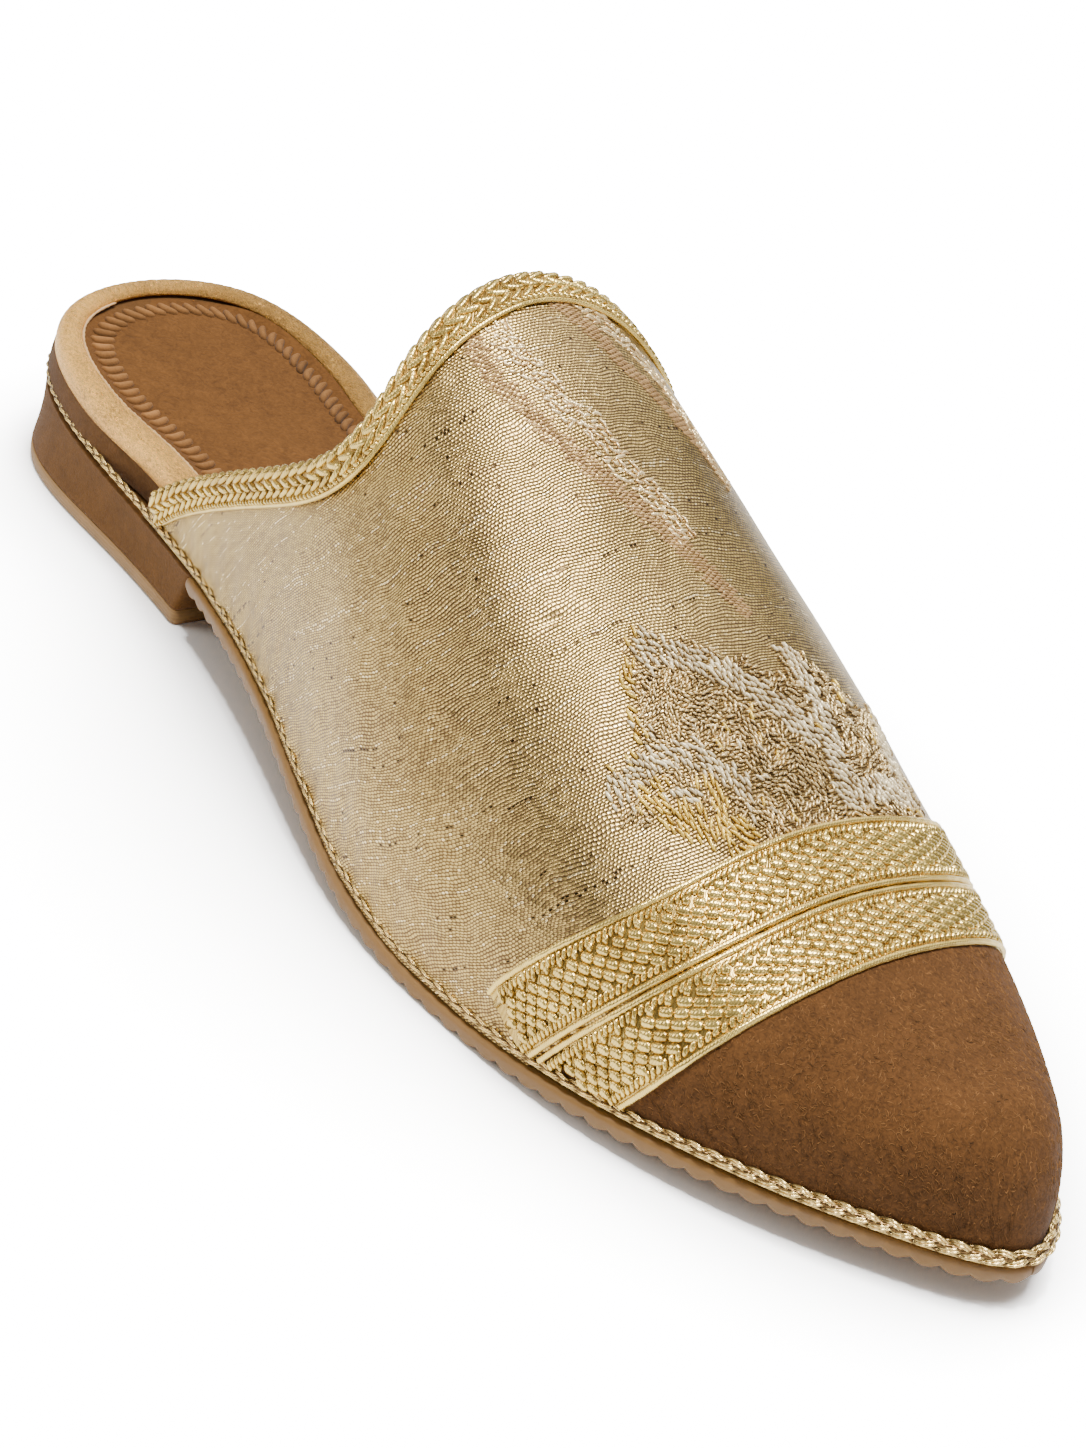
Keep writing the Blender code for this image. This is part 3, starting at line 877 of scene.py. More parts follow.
def metal_thread(name, light, deep, turns=9.0, rough=0.34, metallic=0.72):
    """Thread wound with metal foil."""
    material, n, shader = new_material(name, Metallic=metallic, Roughness=rough)
    thread = use_group(n, "Metal thread", {
        "Map": uv_of(n), "Place": place_of(n), "Tint": tint_of(n),
        "Light": light, "Deep": deep, "Turns": turns,
    })
    dress(n, shader, thread["Colour"], thread["Height"], 0.35, 0.00008)
    return material


def footbed_in(x):
    """Inset of the footbed's edge from the feather line."""
    share = smooth_step(x, FOOTBED_NARROW_FROM, FOOTBED_NARROW_TO)
    return FOOTBED_HEEL_IN + (wall(x) + FOOTBED_CLEAR - FOOTBED_HEEL_IN) * share


def footbed_top(x):
    """Height of the footbed, thinner under the ball and toes."""
    share = smooth_step(x, FOOTBED_THIN_FROM, FOOTBED_THIN_TO)
    return feather(x) + FOOTBED_HEEL_TOP + (FOOTBED_TOE_TOP - FOOTBED_HEEL_TOP) * share


def ring_points(line, height):
    """Points of a plan line at a height or heights."""
    return np.concatenate((line, np.broadcast_to(height, line.shape[0])[:, None]), 1)


def stations_of(line):
    """Distances from the heel of the points of a plan line, kept on the last."""
    return np.clip(line[:, 0], 0, LENGTH)


def closed_stack(rows):
    """Solid from rings, top to bottom, shut by strips to its long middle."""
    top, bottom = rows[0], rows[-1]
    middle, halfway = (1.0, 0.0, 1.0), (1.0, 0.5, 1.0)
    points = np.stack([top * middle, top * halfway, *rows, bottom * halfway, bottom * middle])
    soup = Soup()
    soup.grid(points, paired(run_along(top)[None, :] * MM, points[..., 2] * MM),
              wrap_columns=True)
    return soup


def ring_normal(line, closed=True):
    """Outward normal of a plan line that runs from the right round the heel."""
    tangent = tangents(line, closed)
    return np.stack((-tangent[:, 1], tangent[:, 0]), -1)


def heel_flare(x):
    """How far the heel's foot stands out from the outline."""
    return HEEL_FOOT_OUT + HEEL_FLARE * np.exp(-((x / HEEL_FLARE_LENGTH) ** 2))


HEEL_COLUMNS = 520
HEEL_ROWS = 19
HEEL_CORNER = 0.0012
HEEL_WAIST = 0.0005
HEEL_TOP_EDGE = ((0.0, 0.0005), (0.02, 0.0))  # share of the height from the top, inward
HEEL_FOOT_EDGE = ((0.985, 0.0001), (1.0, 0.0004))


def heel_rings():
    """Plan lines of the heel at its top and at its foot."""
    top = Edge(HEEL_TOP_OUT, 0, BREAST_TOP, HEEL_COLUMNS, soften=HEEL_CORNER).line
    foot = Edge(
        0, 0, BREAST_FOOT, HEEL_COLUMNS, soften=HEEL_CORNER, inset=lambda x: -heel_flare(x)
    ).line
    return top, foot


def make_heel_cover(colours):
    """Heel block in suede: a ruled wall between two rings, drawn in at its waist."""
    top, foot = heel_rings()
    high = feather(stations_of(top)) - SOLE_TOP
    low = LIFT_HEIGHT + TINY
    waist = [(share, HEEL_WAIST * math.sin(math.pi * share))
             for share in np.linspace(0.05, 0.95, HEEL_ROWS)]
    rows = []
    for share, inward in (*HEEL_TOP_EDGE, *waist, *HEEL_FOOT_EDGE):
        line = top + (foot - top) * share
        rows.append(ring_points(line - ring_normal(line) * inward, high + (low - high) * share))
    closed_stack(rows).build("heel_cover", suede("Heel suede", colours.heel, 0.55),
                             "heel_suede", "heel_block")


LIFT_PROFILE = (
    # height, inward
    (LIFT_HEIGHT, 0.0003), (LIFT_HEIGHT - 0.0001, 0.0), (LIFT_HEIGHT * 0.5, -0.0001),
    (0.0004, 0.0), (0.0, 0.0003),
)


def make_top_lift(colours):
    """Top lift: a slab of leather with crisp, slightly rounded edges."""
    foot = heel_rings()[1]
    closed_stack([
        ring_points(foot - ring_normal(foot) * inward, height) for height, inward in LIFT_PROFILE
    ]).build("top_lift", cut_leather(colours.lift), "lift_leather", "heel_top_lift")


SOLE_POINTS = 16  # points along a scallop
GUM_PROUD = 0.0003
SCALLOP_SWELL = 0.0002
SCALLOP_SHALLOWEST = 0.55
SCALLOP_POWER = 0.75
SOLE_PROFILE = (
    # out from the edge, share of the side's height from the top, share of the notch
    (-0.0030, 0.00, 0.0), (-0.0004, 0.00, 0.0), (0.0000, 0.06, 0.0),
    (0.0002, 0.30, 0.0), (0.0002, 0.55, 0.1), (0.0001, 0.80, 0.6),
    (-0.0001, 0.93, 1.0), (-0.0005, 1.00, 1.0), (-0.0016, 1.00, 0.9),
    (-0.0032, 1.00, 0.5), (-0.0060, 1.00, 0.0),
)


def both_sides(row):
    """Row of half the outline carried from the right side round to the left."""
    return np.concatenate((row[::-1], row[1:]))


def make_gum_sole(colours):
    """Gum outsole: a profile round the outline with scallops along its foot.

    A scallop's depth is one less a power of a sine of the run, a round
    bump between narrow notches, which fades inward across the edge.
    """
    start = np.interp(SOLE_REAR, ALONG, RUN)
    scallops = round((RUN[-1] - start) / SCALLOP_PITCH)
    phase = np.linspace(0, scallops, scallops * SOLE_POINTS + 1)
    x = both_sides(np.interp(start + (RUN[-1] - start) * phase / scallops, RUN, ALONG))
    side = np.r_[-np.ones(len(phase)), np.ones(len(phase) - 1)]
    wave = both_sides(np.abs(np.sin(math.pi * phase)))
    rng = np.random.default_rng(3)
    depths = rng.uniform(SCALLOP_SHALLOWEST, 1.0, scallops + 1)
    depth = both_sides(np.interp(phase, np.arange(scallops + 1), depths))
    notch = SCALLOP_DEPTH * depth * (1 - wave**SCALLOP_POWER)
    half = half_width(x)
    normal = outline_normal(x)
    top = feather(x) - SOLE_TOP
    bottom = np.maximum(feather(x) - SOLE_BOTTOM, 0)
    rows = []
    for out, down, share in SOLE_PROFILE:
        swell = out + SOLE_OUT + GUM_PROUD + SCALLOP_SWELL * wave * share
        line = np.stack((x + normal[:, 0] * swell,
                         side * np.maximum(half + normal[:, 1] * swell, 0)), -1)
        rows.append(ring_points(line, top + (bottom - top) * down + notch * share))
    closed_stack(rows).build("gum_sole", gum(colours.gum), "sole_gum", "outsole")


CORD_SCALE = (
    # from_heel, share of the cord's full size
    (0.000, 0.52), (0.050, 0.50), (0.090, 0.42), (0.120, 0.36), (0.170, 0.36),
    (0.200, 0.46), (0.225, 0.62), (0.245, 0.79), (0.265, 0.86),
)
PLAIT_PERIOD = 0.0096
PLAIT_WIDE = 0.00085
PLAIT_THICK = 0.00038
PLAIT_YARN = 0.00030
PLAIT_YARN_APART = 0.00026
PLAIT_CORE = 0.00055
PLAIT_STEPS = 18
PLAIT_SHADE = 0.6  # painted shade: how much darker a strand is where it dips
CORD_TURN = math.radians(40)
UNDERCORD_DROP = 0.00135
UNDERCORD_RADIUS = 0.00036
CORD_LIFT = 0.0002


def cord_scale(x):
    """Size of the cord, which is drawn in thin along the waist."""
    return np.interp(x, *np.array(CORD_SCALE).T)


def make_plaited_cord(sizes, colours):
    """Rand: three strands of two yarns plaited round the feather line.

    Each strand swings across the cord as a sine of its phase and through
    its thickness as a sine of twice the phase, a third of a turn apart.
    """
    periods = round(Edge(CORD_OUT, 0, LENGTH, 600).length / sizes.plait_period)
    edge = Edge(CORD_OUT, 0, LENGTH, periods * PLAIT_STEPS,
                inset=lambda x: CORD_OUT * (1 - cord_scale(x)))
    outward = ring_points(ring_normal(edge.line), 0.0)
    x = stations_of(edge.line)
    scale = cord_scale(x)[:, None]
    centre = ring_points(edge.line, feather(x) + CORD_LIFT)
    upward = np.array((0.0, 0.0, 1.0))
    face = outward * math.cos(CORD_TURN) + upward * math.sin(CORD_TURN)
    wide = upward * math.cos(CORD_TURN) - outward * math.sin(CORD_TURN)
    phase = 2 * math.pi * np.arange(len(centre)) / PLAIT_STEPS
    soup = Soup()
    # The core tube is tinted darkest, a painted shade seen in the gaps between the strands.
    tube(soup, centre, outward, PLAIT_CORE * scale[:, 0], 8, True, -1.0)
    for strand in range(3):
        turn = phase + strand * 2 * math.pi / 3
        through = scale * PLAIT_THICK * np.sin(2 * turn)[:, None] * face
        tint = 0.12 * np.sin(turn * 3 + strand) + 0.10 * np.sin(phase * 0.37 + strand * 2)
        # A strand is painted lighter where it lies on top and darker where it dips under, as
        # shade.
        tint = tint[:, None] + PLAIT_SHADE * np.sin(2 * turn)[:, None] - 0.1
        for side in (-1, 1):
            swing = PLAIT_WIDE * np.sin(turn)[:, None] + side * PLAIT_YARN_APART
            tube(soup, centre + scale * swing * wide + through, outward,
                 PLAIT_YARN * scale[:, 0], 6, True, tint)
    finish = metal_thread(
        "Rose gold cord", colours.rose_gold, colours.rose_deep, 7.0, 0.26, 0.85
    )
    soup.build("rand_plait", finish, "cord_metallic", "rand_cord")
    soup = Soup()
    tube(soup, centre - scale * UNDERCORD_DROP * upward, outward,
         UNDERCORD_RADIUS * scale[:, 0], 6, True)
    finish = metal_thread("Rose gold undercord", colours.rose_gold, colours.rose_deep, 12.0)
    soup.build("rand_undercord", finish, "cord_metallic")


def footbed_ring(inward, count, end=LENGTH):
    """Line round the footbed at a distance in from its edge."""
    return Edge(-inward, 0, end, count, inset=footbed_in)


WRAP_COLUMNS = 760
WRAP_SWELL = 0.0013
WRAP_PROFILE = (
    # inward, share of the height from the top, share of the swell
    (0.0020, 0.00, 0.0), (0.0006, 0.00, 0.0), (0.0001, 0.08, 0.2), (0.0000, 0.25, 0.5),
    (0.0000, 0.50, 0.8), (0.0000, 0.75, 0.95), (0.0001, 0.95, 1.0), (0.0010, 1.00, 1.0),
)


def make_footbed_wrap(colours):
    """Footbed wrapped in suede: rounded edges round the outline."""
    line = footbed_ring(0.0, WRAP_COLUMNS).line
    x = stations_of(line)
    high = footbed_top(x)
    low = feather(x) - FOOT_DROP
    outward = ring_normal(line)
    rows = []
    open_heel = 1 - smooth_step(x, FOOTBED_NARROW_FROM, FOOTBED_NARROW_TO)
    for inward, share, swell in WRAP_PROFILE:
        shift = swell * WRAP_SWELL * open_heel - inward
        rows.append(ring_points(line + outward * shift[:, None], high + (low - high) * share))
    closed_stack(rows).build("footbed_wrap", suede("Footbed suede", colours.footbed, 0.5),
                             "footbed_suede", "footbed")


RIM_NARROW = 0.0044
RIM_WIDE = 0.0058
RIM_WIDE_AT = 0.060
RIM_COLUMNS = 560
RIM_ACROSS = 20
RIM_OVER = 0.62  # share of the section that goes over the cushion
RIM_CROWN_POWER = 0.62
RIM_LEAN = 0.16
RIM_OVERHANG = 0.0006
RIM_ROLL = 0.0016
RIM_SEAT = 0.0002
RIM_FULL = 1.14
RIM_BEND_REACH = 0.030
RIM_PUCKER = 0.00006
WELT_TO = -0.008  # the welt runs on the right side, up to this y
WELT_RISE = 0.0011
WELT_RADIUS = 0.00026
WELT_IN = 0.0001


def rim_width(x):
    """Width of the rim, narrower round the back of the heel."""
    return RIM_NARROW + (RIM_WIDE - RIM_NARROW) * smooth_step(x, 0, RIM_WIDE_AT)


def rim_profile(share):
    """Section of the rim: distance inward and height for a share round it.

    Up to RIM_OVER the share goes over the cushion, from the rolled outer
    edge to the inner one, and then back underneath.
    """
    over = np.clip(share / RIM_OVER, 0, 1)
    back = np.clip((share - RIM_OVER) / (1 - RIM_OVER), 0, 1)
    turn = np.cos(math.pi * over)
    inward = (RIM_WIDTH + RIM_OVERHANG) * (1 - turn) / 2 - RIM_OVERHANG
    crown = np.sin(math.pi * over) ** RIM_CROWN_POWER
    lean = 1 - RIM_LEAN * over
    height = RIM_RISE * crown * lean - RIM_ROLL * (1 - over) ** 5
    under = RIM_SEAT - RIM_ROLL * back**6
    inward = np.where(share <= RIM_OVER, inward, RIM_WIDTH - (RIM_WIDTH + RIM_OVERHANG) * back)
    return inward, np.where(share <= RIM_OVER, height, under)


def make_padded_rim(sizes, colours):
    """Padded rim of brushed metallic leather round the heel of the footbed.

    A cushion section is carried along the footbed's edge; its fullness
    swells and sinks gently, and fine puckers cross it where it bends.
    """
    edge = footbed_ring(0.0, RIM_COLUMNS, RIM_END)
    line = edge.line
    outward = ring_normal(line, closed=False)
    x = stations_of(line)
    inward, height = rim_profile(np.linspace(0, 1, RIM_ACROSS * 2, endpoint=False))
    run = edge.run[:, None]
    full = RIM_FULL + 0.05 * np.sin(run * 71) + 0.03 * np.sin(run * 173 + 1)
    bend = np.exp(-((x / RIM_BEND_REACH) ** 2))[:, None]
    pucker = RIM_PUCKER * bend * np.sin(run * 2600 + 1.5 * np.sin(run * 310))
    raised = np.maximum(height, 0)
    height = height + raised * (full - 1) * sizes.rim_padding
    height = height + pucker * raised / RIM_RISE
    inner = inward[None, :] * (rim_width(x) / RIM_WIDTH)[:, None]
    flat = line[:, None] - outward[:, None] * inner[..., None]
    level = footbed_top(x)[:, None] + RIM_SEAT + height
    points = np.concatenate((flat, level[..., None]), -1)
    around = np.cumsum(np.r_[0, np.hypot(np.diff(inward), np.diff(height[0]))])
    soup = Soup()
    soup.grid(points, paired(run * MM, around[None, :] * MM), wrap_columns=True)
    for end, order in ((points[0], 1), (points[-1], -1)):
        lid = np.stack((end, np.broadcast_to(end.mean(axis=0), end.shape)))
        soup.grid(lid[::order], wrap_columns=True)
    rim = soup.build("padded_rim", brushed_leather(colours.rim), "rim_leather", "insole_rim")


def make_welt(colours):
    """Fine cord laid inside the rim on the right side."""
    welt = Edge(0, 0, RIM_END, RIM_COLUMNS, inset=lambda x: sock_in(x) - WELT_IN)
    near = welt.line[:, 1] < WELT_TO
    centre = ring_points(welt.line, footbed_top(stations_of(welt.line)) + WELT_RISE)[near]
    side = ring_points(ring_normal(welt.line, closed=False), 0.0)[near]
    run = welt.run[near]
    swell = 1 + 0.25 * np.sin(run * 3900) + 0.15 * np.sin(run * 1100 + 1)
    soup = Soup()
    tube(soup, centre, side, WELT_RADIUS * swell, 8)
    soup.build("rim_welt", metal_thread("Welt", colours.welt, colours.rim, 6.0, 0.45, 0.35),
               "rim_leather")


SOCK_COLUMNS = 300
SOCK_ROWS = 22
RIDGE_LENGTH = 0.0050
RIDGE_WIDTH = 0.00175
RIDGE_HEIGHT = 0.00100
RIDGE_BOW = 0.00055
RIDGE_SUNK = 0.00012
RIDGE_INSET = 0.0036
RIDGE_END = RIM_END + 0.02
RIDGE_STATIONS = 1400
RIDGE_NEAR = -0.025  # the turn goes over from near to far between these y
RIDGE_FAR = 0.012
RIDGE_TURN_NEAR = math.radians(95)
RIDGE_TURN_FAR = math.radians(135)
SOCK_DIP = 0.0009
SOCK_WALL = 0.0030
SOCK_WAVE = 0.00012
SOCK_HEM = 0.0001
SOCK_LEVEL_FROM = 0.090
SOCK_LEVEL_TO = 0.140


def sock_in(x):
    """Inset of the sock's edge from the feather line."""
    share = smooth_step(x, SOCK_WIDEN_FROM, SOCK_WIDEN_TO)
    inset = footbed_in(x) + rim_width(x) + GAP
    return inset + (SOCK_TOE_IN - inset) * share


def sock_height(x, y):
    """Top of the sock: a wall down from the rim, then nearly level.

    The distance from the edge is taken as the gap across over the length
    of the gap's gradient, which holds round the heel too.
    """
    reach = np.maximum(half_width(x) - sock_in(x), TINY)
    ahead = np.maximum(half_width(x + PROBE) - sock_in(x + PROBE), TINY)
    across = np.clip(np.abs(y) / reach, 0, 1)
    far = (reach - np.abs(y)) / np.hypot(1, (ahead - reach) / PROBE)
    dip = SOCK_DIP * smooth_step(far, 0, SOCK_WALL)
    dip = dip * (1 - smooth_step(x, SOCK_LEVEL_FROM, SOCK_LEVEL_TO))
    wave = SOCK_WAVE * np.sin(x * 140 + y * 90) * np.sin(y * 160 + x * 30)
    return footbed_top(x) + GAP + SOCK_THICKNESS - dip + wave * (1 - across)


def make_sock(colours):
    """Suede sock, from its hem up and in to its middle."""
    line = Edge(0, 0, LENGTH, SOCK_COLUMNS * 2, inset=sock_in).line
    x = stations_of(line)
    rows = [ring_points(line, footbed_top(x) + SOCK_HEM)]
    for part in np.sin(np.linspace(0, math.pi / 2, SOCK_ROWS + 1))[::-1]:
        y = line[:, 1] * part
        rows.append(np.stack((line[:, 0], y, sock_height(x, y)), -1))
    soup = Soup()
    soup.grid(np.stack(rows)[::-1], wrap_columns=True)
    soup.build("sock", suede("Sock suede", colours.sock, 0.7, 500.0), "sock_suede", "insole_sock")


def make_ridges(sizes, colours):
    """Ring of slanted embossed ridges inside the sock's edge."""
    edge = Edge(-RIDGE_INSET, 0, RIDGE_END, RIDGE_STATIONS, inset=sock_in)
    columns = (*edge.line.T, *ring_normal(edge.line, closed=False).T)

    def place(run, distance, level):
        x, y, out_x, out_y = (np.interp(run, edge.run, column) for column in columns)
        along = x + distance * out_x
        aside = y + distance * out_y
        height = sock_height(np.clip(along, 0, LENGTH), aside)
        return np.stack((along, aside, height + level), -1)

    count = int(edge.length / sizes.ridge_pitch)
    run = (np.arange(count) + 0.5) * sizes.ridge_pitch
    rng = np.random.default_rng(11)
    soup = Soup()
    share = smooth_step(np.interp(run, edge.run, edge.line[:, 1]), RIDGE_NEAR, RIDGE_FAR)
    turn = RIDGE_TURN_NEAR + (RIDGE_TURN_FAR - RIDGE_TURN_NEAR) * share
    # The ridges are painted lighter on the near side and darker on the far side, painted light and
    # shade, and shaded at their feet.
    threads(
        soup, place, run, 0.0, turn + rng.normal(0, 0.03, count),
        RIDGE_LENGTH * (1 + rng.normal(0, 0.03, count)), RIDGE_WIDTH, RIDGE_HEIGHT, -RIDGE_SUNK,
        tint=0.12 - 0.22 * share + rng.normal(0, 0.08, count), bow=RIDGE_BOW, shade=0.6,
        steps=10, sides=7,
    )
    soup.build("sock_ridges", suede("Ridge suede", colours.ridge, 0.4, 1200.0), "sock_suede")


def cut_leather(colour):
    """Leather seen on its cut edge: fine horizontal layers and a cloudy tone."""
    material, n, shader = new_material("Lift leather", Roughness=0.55, Specular_IOR_Level=0.35)
    place = place_of(n)
    layer = n.math("SINE", n.times(n.axes(place)[2], 9000.0))
    cloud = n.noise(place, 160.0, 3.0, 0.6)
    tone = n.about(cloud, 0.5)
    tone = n.line(layer, 0.05, tone)
    height = n.line(layer, 0.2, cloud)
    dress(n, shader, n.shaded(colour, tone), height, 0.3, 0.0002)
    return material


def gum(colour):
    """Moulded gum rubber: smooth, faintly mottled, rougher in patches."""
    material, n, shader = new_material("Gum", Roughness=0.5, Specular_IOR_Level=0.4)
    place = place_of(n)
    cloud = n.noise(place, 55.0, 3.0, 0.6)
    grain = n.noise(place, 900.0, 2.0, 0.6)
    tone = n.about(cloud, 0.35)
    tone = n.about(grain, 0.10, tone)
    rough = n.ramp(cloud, 0.3, 0.7, 0.42, 0.6)
    dress(n, shader, n.shaded(colour, tone), grain, 0.2, 0.0001, rough)
    return material


def brushed_leather(colour):
    """Metallic leather brushed into fine curved whiskers, painted darker toward the far side as
    shade.
    """
    material, n, shader = new_material("Rim leather", Metallic=0.75, Roughness=0.36)
    place = place_of(n)
    stretched = n.stretched(place, (0.35, 1.0, 1.0))
    whisker = n.noise(stretched, 2600.0, 3.0, 0.62, 1.6)
    fine = n.noise(stretched, 5200.0, 2.0, 0.6, 1.0)
    cloud = n.noise(place, 60.0, 2.0, 0.5)
    # Painted shade: the rim darkens toward the far side of the heel.
    far_side_shade = n.ramp(n.axes(place)[1], -0.014, 0.020, 1.0, 0.52)
    tone = n.ramp(whisker, 0.38, 0.62, 0.72, 1.35)
    tone = n.times(tone, n.ramp(fine, 0.36, 0.64, 0.84, 1.16))
    tone = n.about(cloud, 0.9, tone)
    tone = n.times(tone, far_side_shade)
    height = n.line(fine, 0.5, whisker)
    rough = n.ramp(whisker, 0.3, 0.7, 0.46, 0.26)
    dress(n, shader, n.shaded(colour, tone), height, 1.0, 0.00035, rough)
    return material


WEFT_WANDER = 0.55  # how far the weft rows waver


def brocade(sizes, colours):
    """Gold and silver brocade ground: fine weft rows with sparks and slubs, with painted shade
    between the rows and under the motif.
    """
    material, n, shader = new_material("Brocade", Metallic=0.92, Roughness=0.30)
    uv = uv_of(n)
    weave = use_group(n, "Brocade weave", {
        "Map": uv, "Row": sizes.weft_pitch * MM, "Bead": sizes.weft_bead * MM,
        "Wander": WEFT_WANDER, "Sparks": sizes.sparks, "Slubs": sizes.slubs,
    })
    streak = n.noise(n.stretched(uv, (1.5, 0.08, 1.0)), 1.0, 3.0, 0.6)
    share = n.about(weave["Cloud"], 0.5, 0.10)
    share = n.about(streak, 0.5, share)
    grain = n.noise(n.stretched(uv, (1.0, 0.5, 1.0)), 1.1, 2.0, 0.6)
    share = n.about(grain, 0.3, share)
    share = n.math("SUBTRACT", share, 0.42)
    # The low parts between the weft beads take the shade colour: painted shade between the rows.
    share = n.line(weave["Height"], 1.7, share, clamp=True)
    colour = n.mix(share, colours.ground_deep, colours.ground)
    # Under the motif the ground is darkened toward the brown shade: painted shade between the
    # motif's stitches.
    colour = n.mix(n.times(tint_of(n), 0.55), colour, colours.brown_deep)
    colour = n.mix(weave["Spark"], colour, colours.spark)
    colour = n.mix(weave["Slub"], colour, colours.slub)
    rough = n.line(weave["Spark"], -0.05, 0.30)
    dress(n, shader, colour, weave["Height"], 1.0, 0.00008, rough)
    return material


def lining(colour):
    """Smooth lining leather."""
    material, n, shader = new_material("Lining", Roughness=0.7, Specular_IOR_Level=0.3)
    place = place_of(n)
    cloud = n.noise(place, 120.0, 4.0, 0.6)
    tone = n.about(cloud, 0.3)
    dress(n, shader, n.shaded(colour, tone), n.noise(place, 1500.0, 2.0, 0.6), 0.3, 0.0001)
    return material


VAMP_COLUMNS = 250
VAMP_ROWS = 200
VAMP_FADE = 0.03  # share of the vamp's length over which it lies down at its ends
LINING_COLUMNS = 100
LINING_ROWS = 90
LINING_CROWDING = 1.5
LINING_THICKNESS = 0.0006
LINING_SHORT = 0.0002
CLOTH_THICKNESS = 0.0007
CLOTH_WAVE = 0.00010
CLOTH_HEM = np.array(((-1.0,), (-0.5,))) * CLOTH_THICKNESS  # levels of a turned edge
COLLAR_TUCK = 0.0016
FOOT_FLARE = 0.0005
FOOT_FLARE_RISE = 0.003
VAMP_FOLDS = (
    # from_heel, girth, turn from the length, length, width, depth
    (0.1665, -0.0220, 78, 0.0026, 0.0007, -0.00045),
    (0.1610, -0.0130, 84, 0.0018, 0.0006, -0.00025),
    (0.1500, -0.0300, 8, 0.0340, 0.0100, 0.00055),
    (0.1300, -0.0430, 20, 0.0230, 0.0090, -0.00040),
    (0.1180, -0.0330, 42, 0.0150, 0.0050, -0.00035),
    (0.1900, -0.0380, 4, 0.0200, 0.0080, 0.00035),
    (0.1820, 0.0280, -6, 0.0260, 0.0090, 0.00035),
    (0.1320, 0.0400, -18, 0.0230, 0.0090, -0.00035),
    (0.1450, -0.0060, 0, 0.0200, 0.0080, 0.00020),
)
SWEEP_TO = 0.060
SWEEP_SLOPE = 0.78
PUCKER_PITCH = 0.0062
PUCKER_HEIGHT = 0.00016
PUCKER_REACH = 0.0120


def cloth_level(x, girth):
    """How far the cloth stands off the skin: soft folds and lasting puckers."""
    level = CLOTH_WAVE * np.sin(x * 260 + girth * 120) * np.sin(girth * 210 - x * 60)
    for at, aside, turn, length, width, depth in VAMP_FOLDS:
        turn = math.radians(turn)
        along = (x - at) * math.cos(turn) + (girth - aside) * math.sin(turn)
        across = (girth - aside) * math.cos(turn) - (x - at) * math.sin(turn)
        level = level + depth * np.exp(-((along / length) ** 2) - (across / width) ** 2)
    rise = half_girth(x) - np.abs(girth)
    fade = np.exp(-((rise / PUCKER_REACH) ** 2)) * smooth_step(rise, 0.0, 0.003)
    wave = np.sin(x * 2 * math.pi / PUCKER_PITCH + 1.3 * np.sin(x * 160))
    return level + PUCKER_HEIGHT * fade * wave


def weft_map(x, girth):
    """Place in the cloth, in millimetres: across the weft rows and along them.

    The rows cross the ridge square and are swept back down the sides, at a
    slope that grows as the square of the girth up to SWEEP_TO.
    """
    aside = np.minimum(np.abs(girth), SWEEP_TO)
    back = SWEEP_SLOPE * (aside**3 / 3 / SWEEP_TO**2 + np.abs(girth) - aside)
    return paired((x + back) * MM, girth * MM)


MIDDLE_OF_VAMP = 0.05  # ahead of the collar's section


def cloth_columns(count):
    """Angles at even shares of the girth over the middle of the vamp."""
    row = np.argmin(np.abs(STATIONS - COLLAR_SECTION - MIDDLE_OF_VAMP))
    return np.interp(np.linspace(-1, 1, count), SHARE_OF_ANGLE[row], FAN)


def make_vamp(sizes, colours):
    """Vamp: brocade over the last with its edges turned in."""
    angle = cloth_columns(VAMP_COLUMNS)
    rear = collar_edge(angle) + BINDING_WEB + COLLAR_TUCK
    front = band_seam(angle) + BAND_GAP
    share = np.linspace(0, 1, VAMP_ROWS)[:, None]
    x = rear + (front - rear) * share
    girth = girth_of(x, angle)
    level = cloth_level(x, girth)
    fade = smooth_step(share, 0, VAMP_FADE) * (1 - smooth_step(share, 1 - VAMP_FADE, 1))
    level = level * fade
    rise = half_girth(x) - np.abs(girth)
    level = level + FOOT_FLARE * (1 - smooth_step(rise, 0, FOOT_FLARE_RISE))
    hemmed = [0, 0, *range(VAMP_ROWS), -1, -1]
    x, girth, level = x[hemmed], girth[hemmed], level[hemmed]
    level[:2] = CLOTH_HEM
    level[-2:] = CLOTH_HEM[::-1]
    soup = Soup()
    # Marks the cloth under the motif for the painted shade between its stitches.
    under_motif_shade = inside(x, girth, MOTIF_OUTLINE).astype(float)
    soup.grid(surface(x, angle, level), weft_map(x, girth), under_motif_shade)
    soup.build("vamp_cloth", brocade(sizes, colours), "vamp_brocade", "upper")


def make_lining(colours):
    """Lining leather inside the vamp, closed forward into the toe."""
    angle = cloth_columns(LINING_COLUMNS)
    rear = collar_edge(angle) + BINDING_WEB
    share = 1 - (1 - np.linspace(0, 1, LINING_ROWS)[:, None]) ** LINING_CROWDING
    x = rear + (LENGTH - LINING_SHORT - rear) * share
    inner = surface(x, angle, -wall(x))
    outer = surface(x, angle, -wall(x) + LINING_THICKNESS)
    soup = Soup()
    soup.grid(np.concatenate((inner, outer[:, ::-1]), axis=1)[:, ::-1], wrap_columns=True)
    soup.build("vamp_lining", lining(colours.lining), "vamp_brocade")


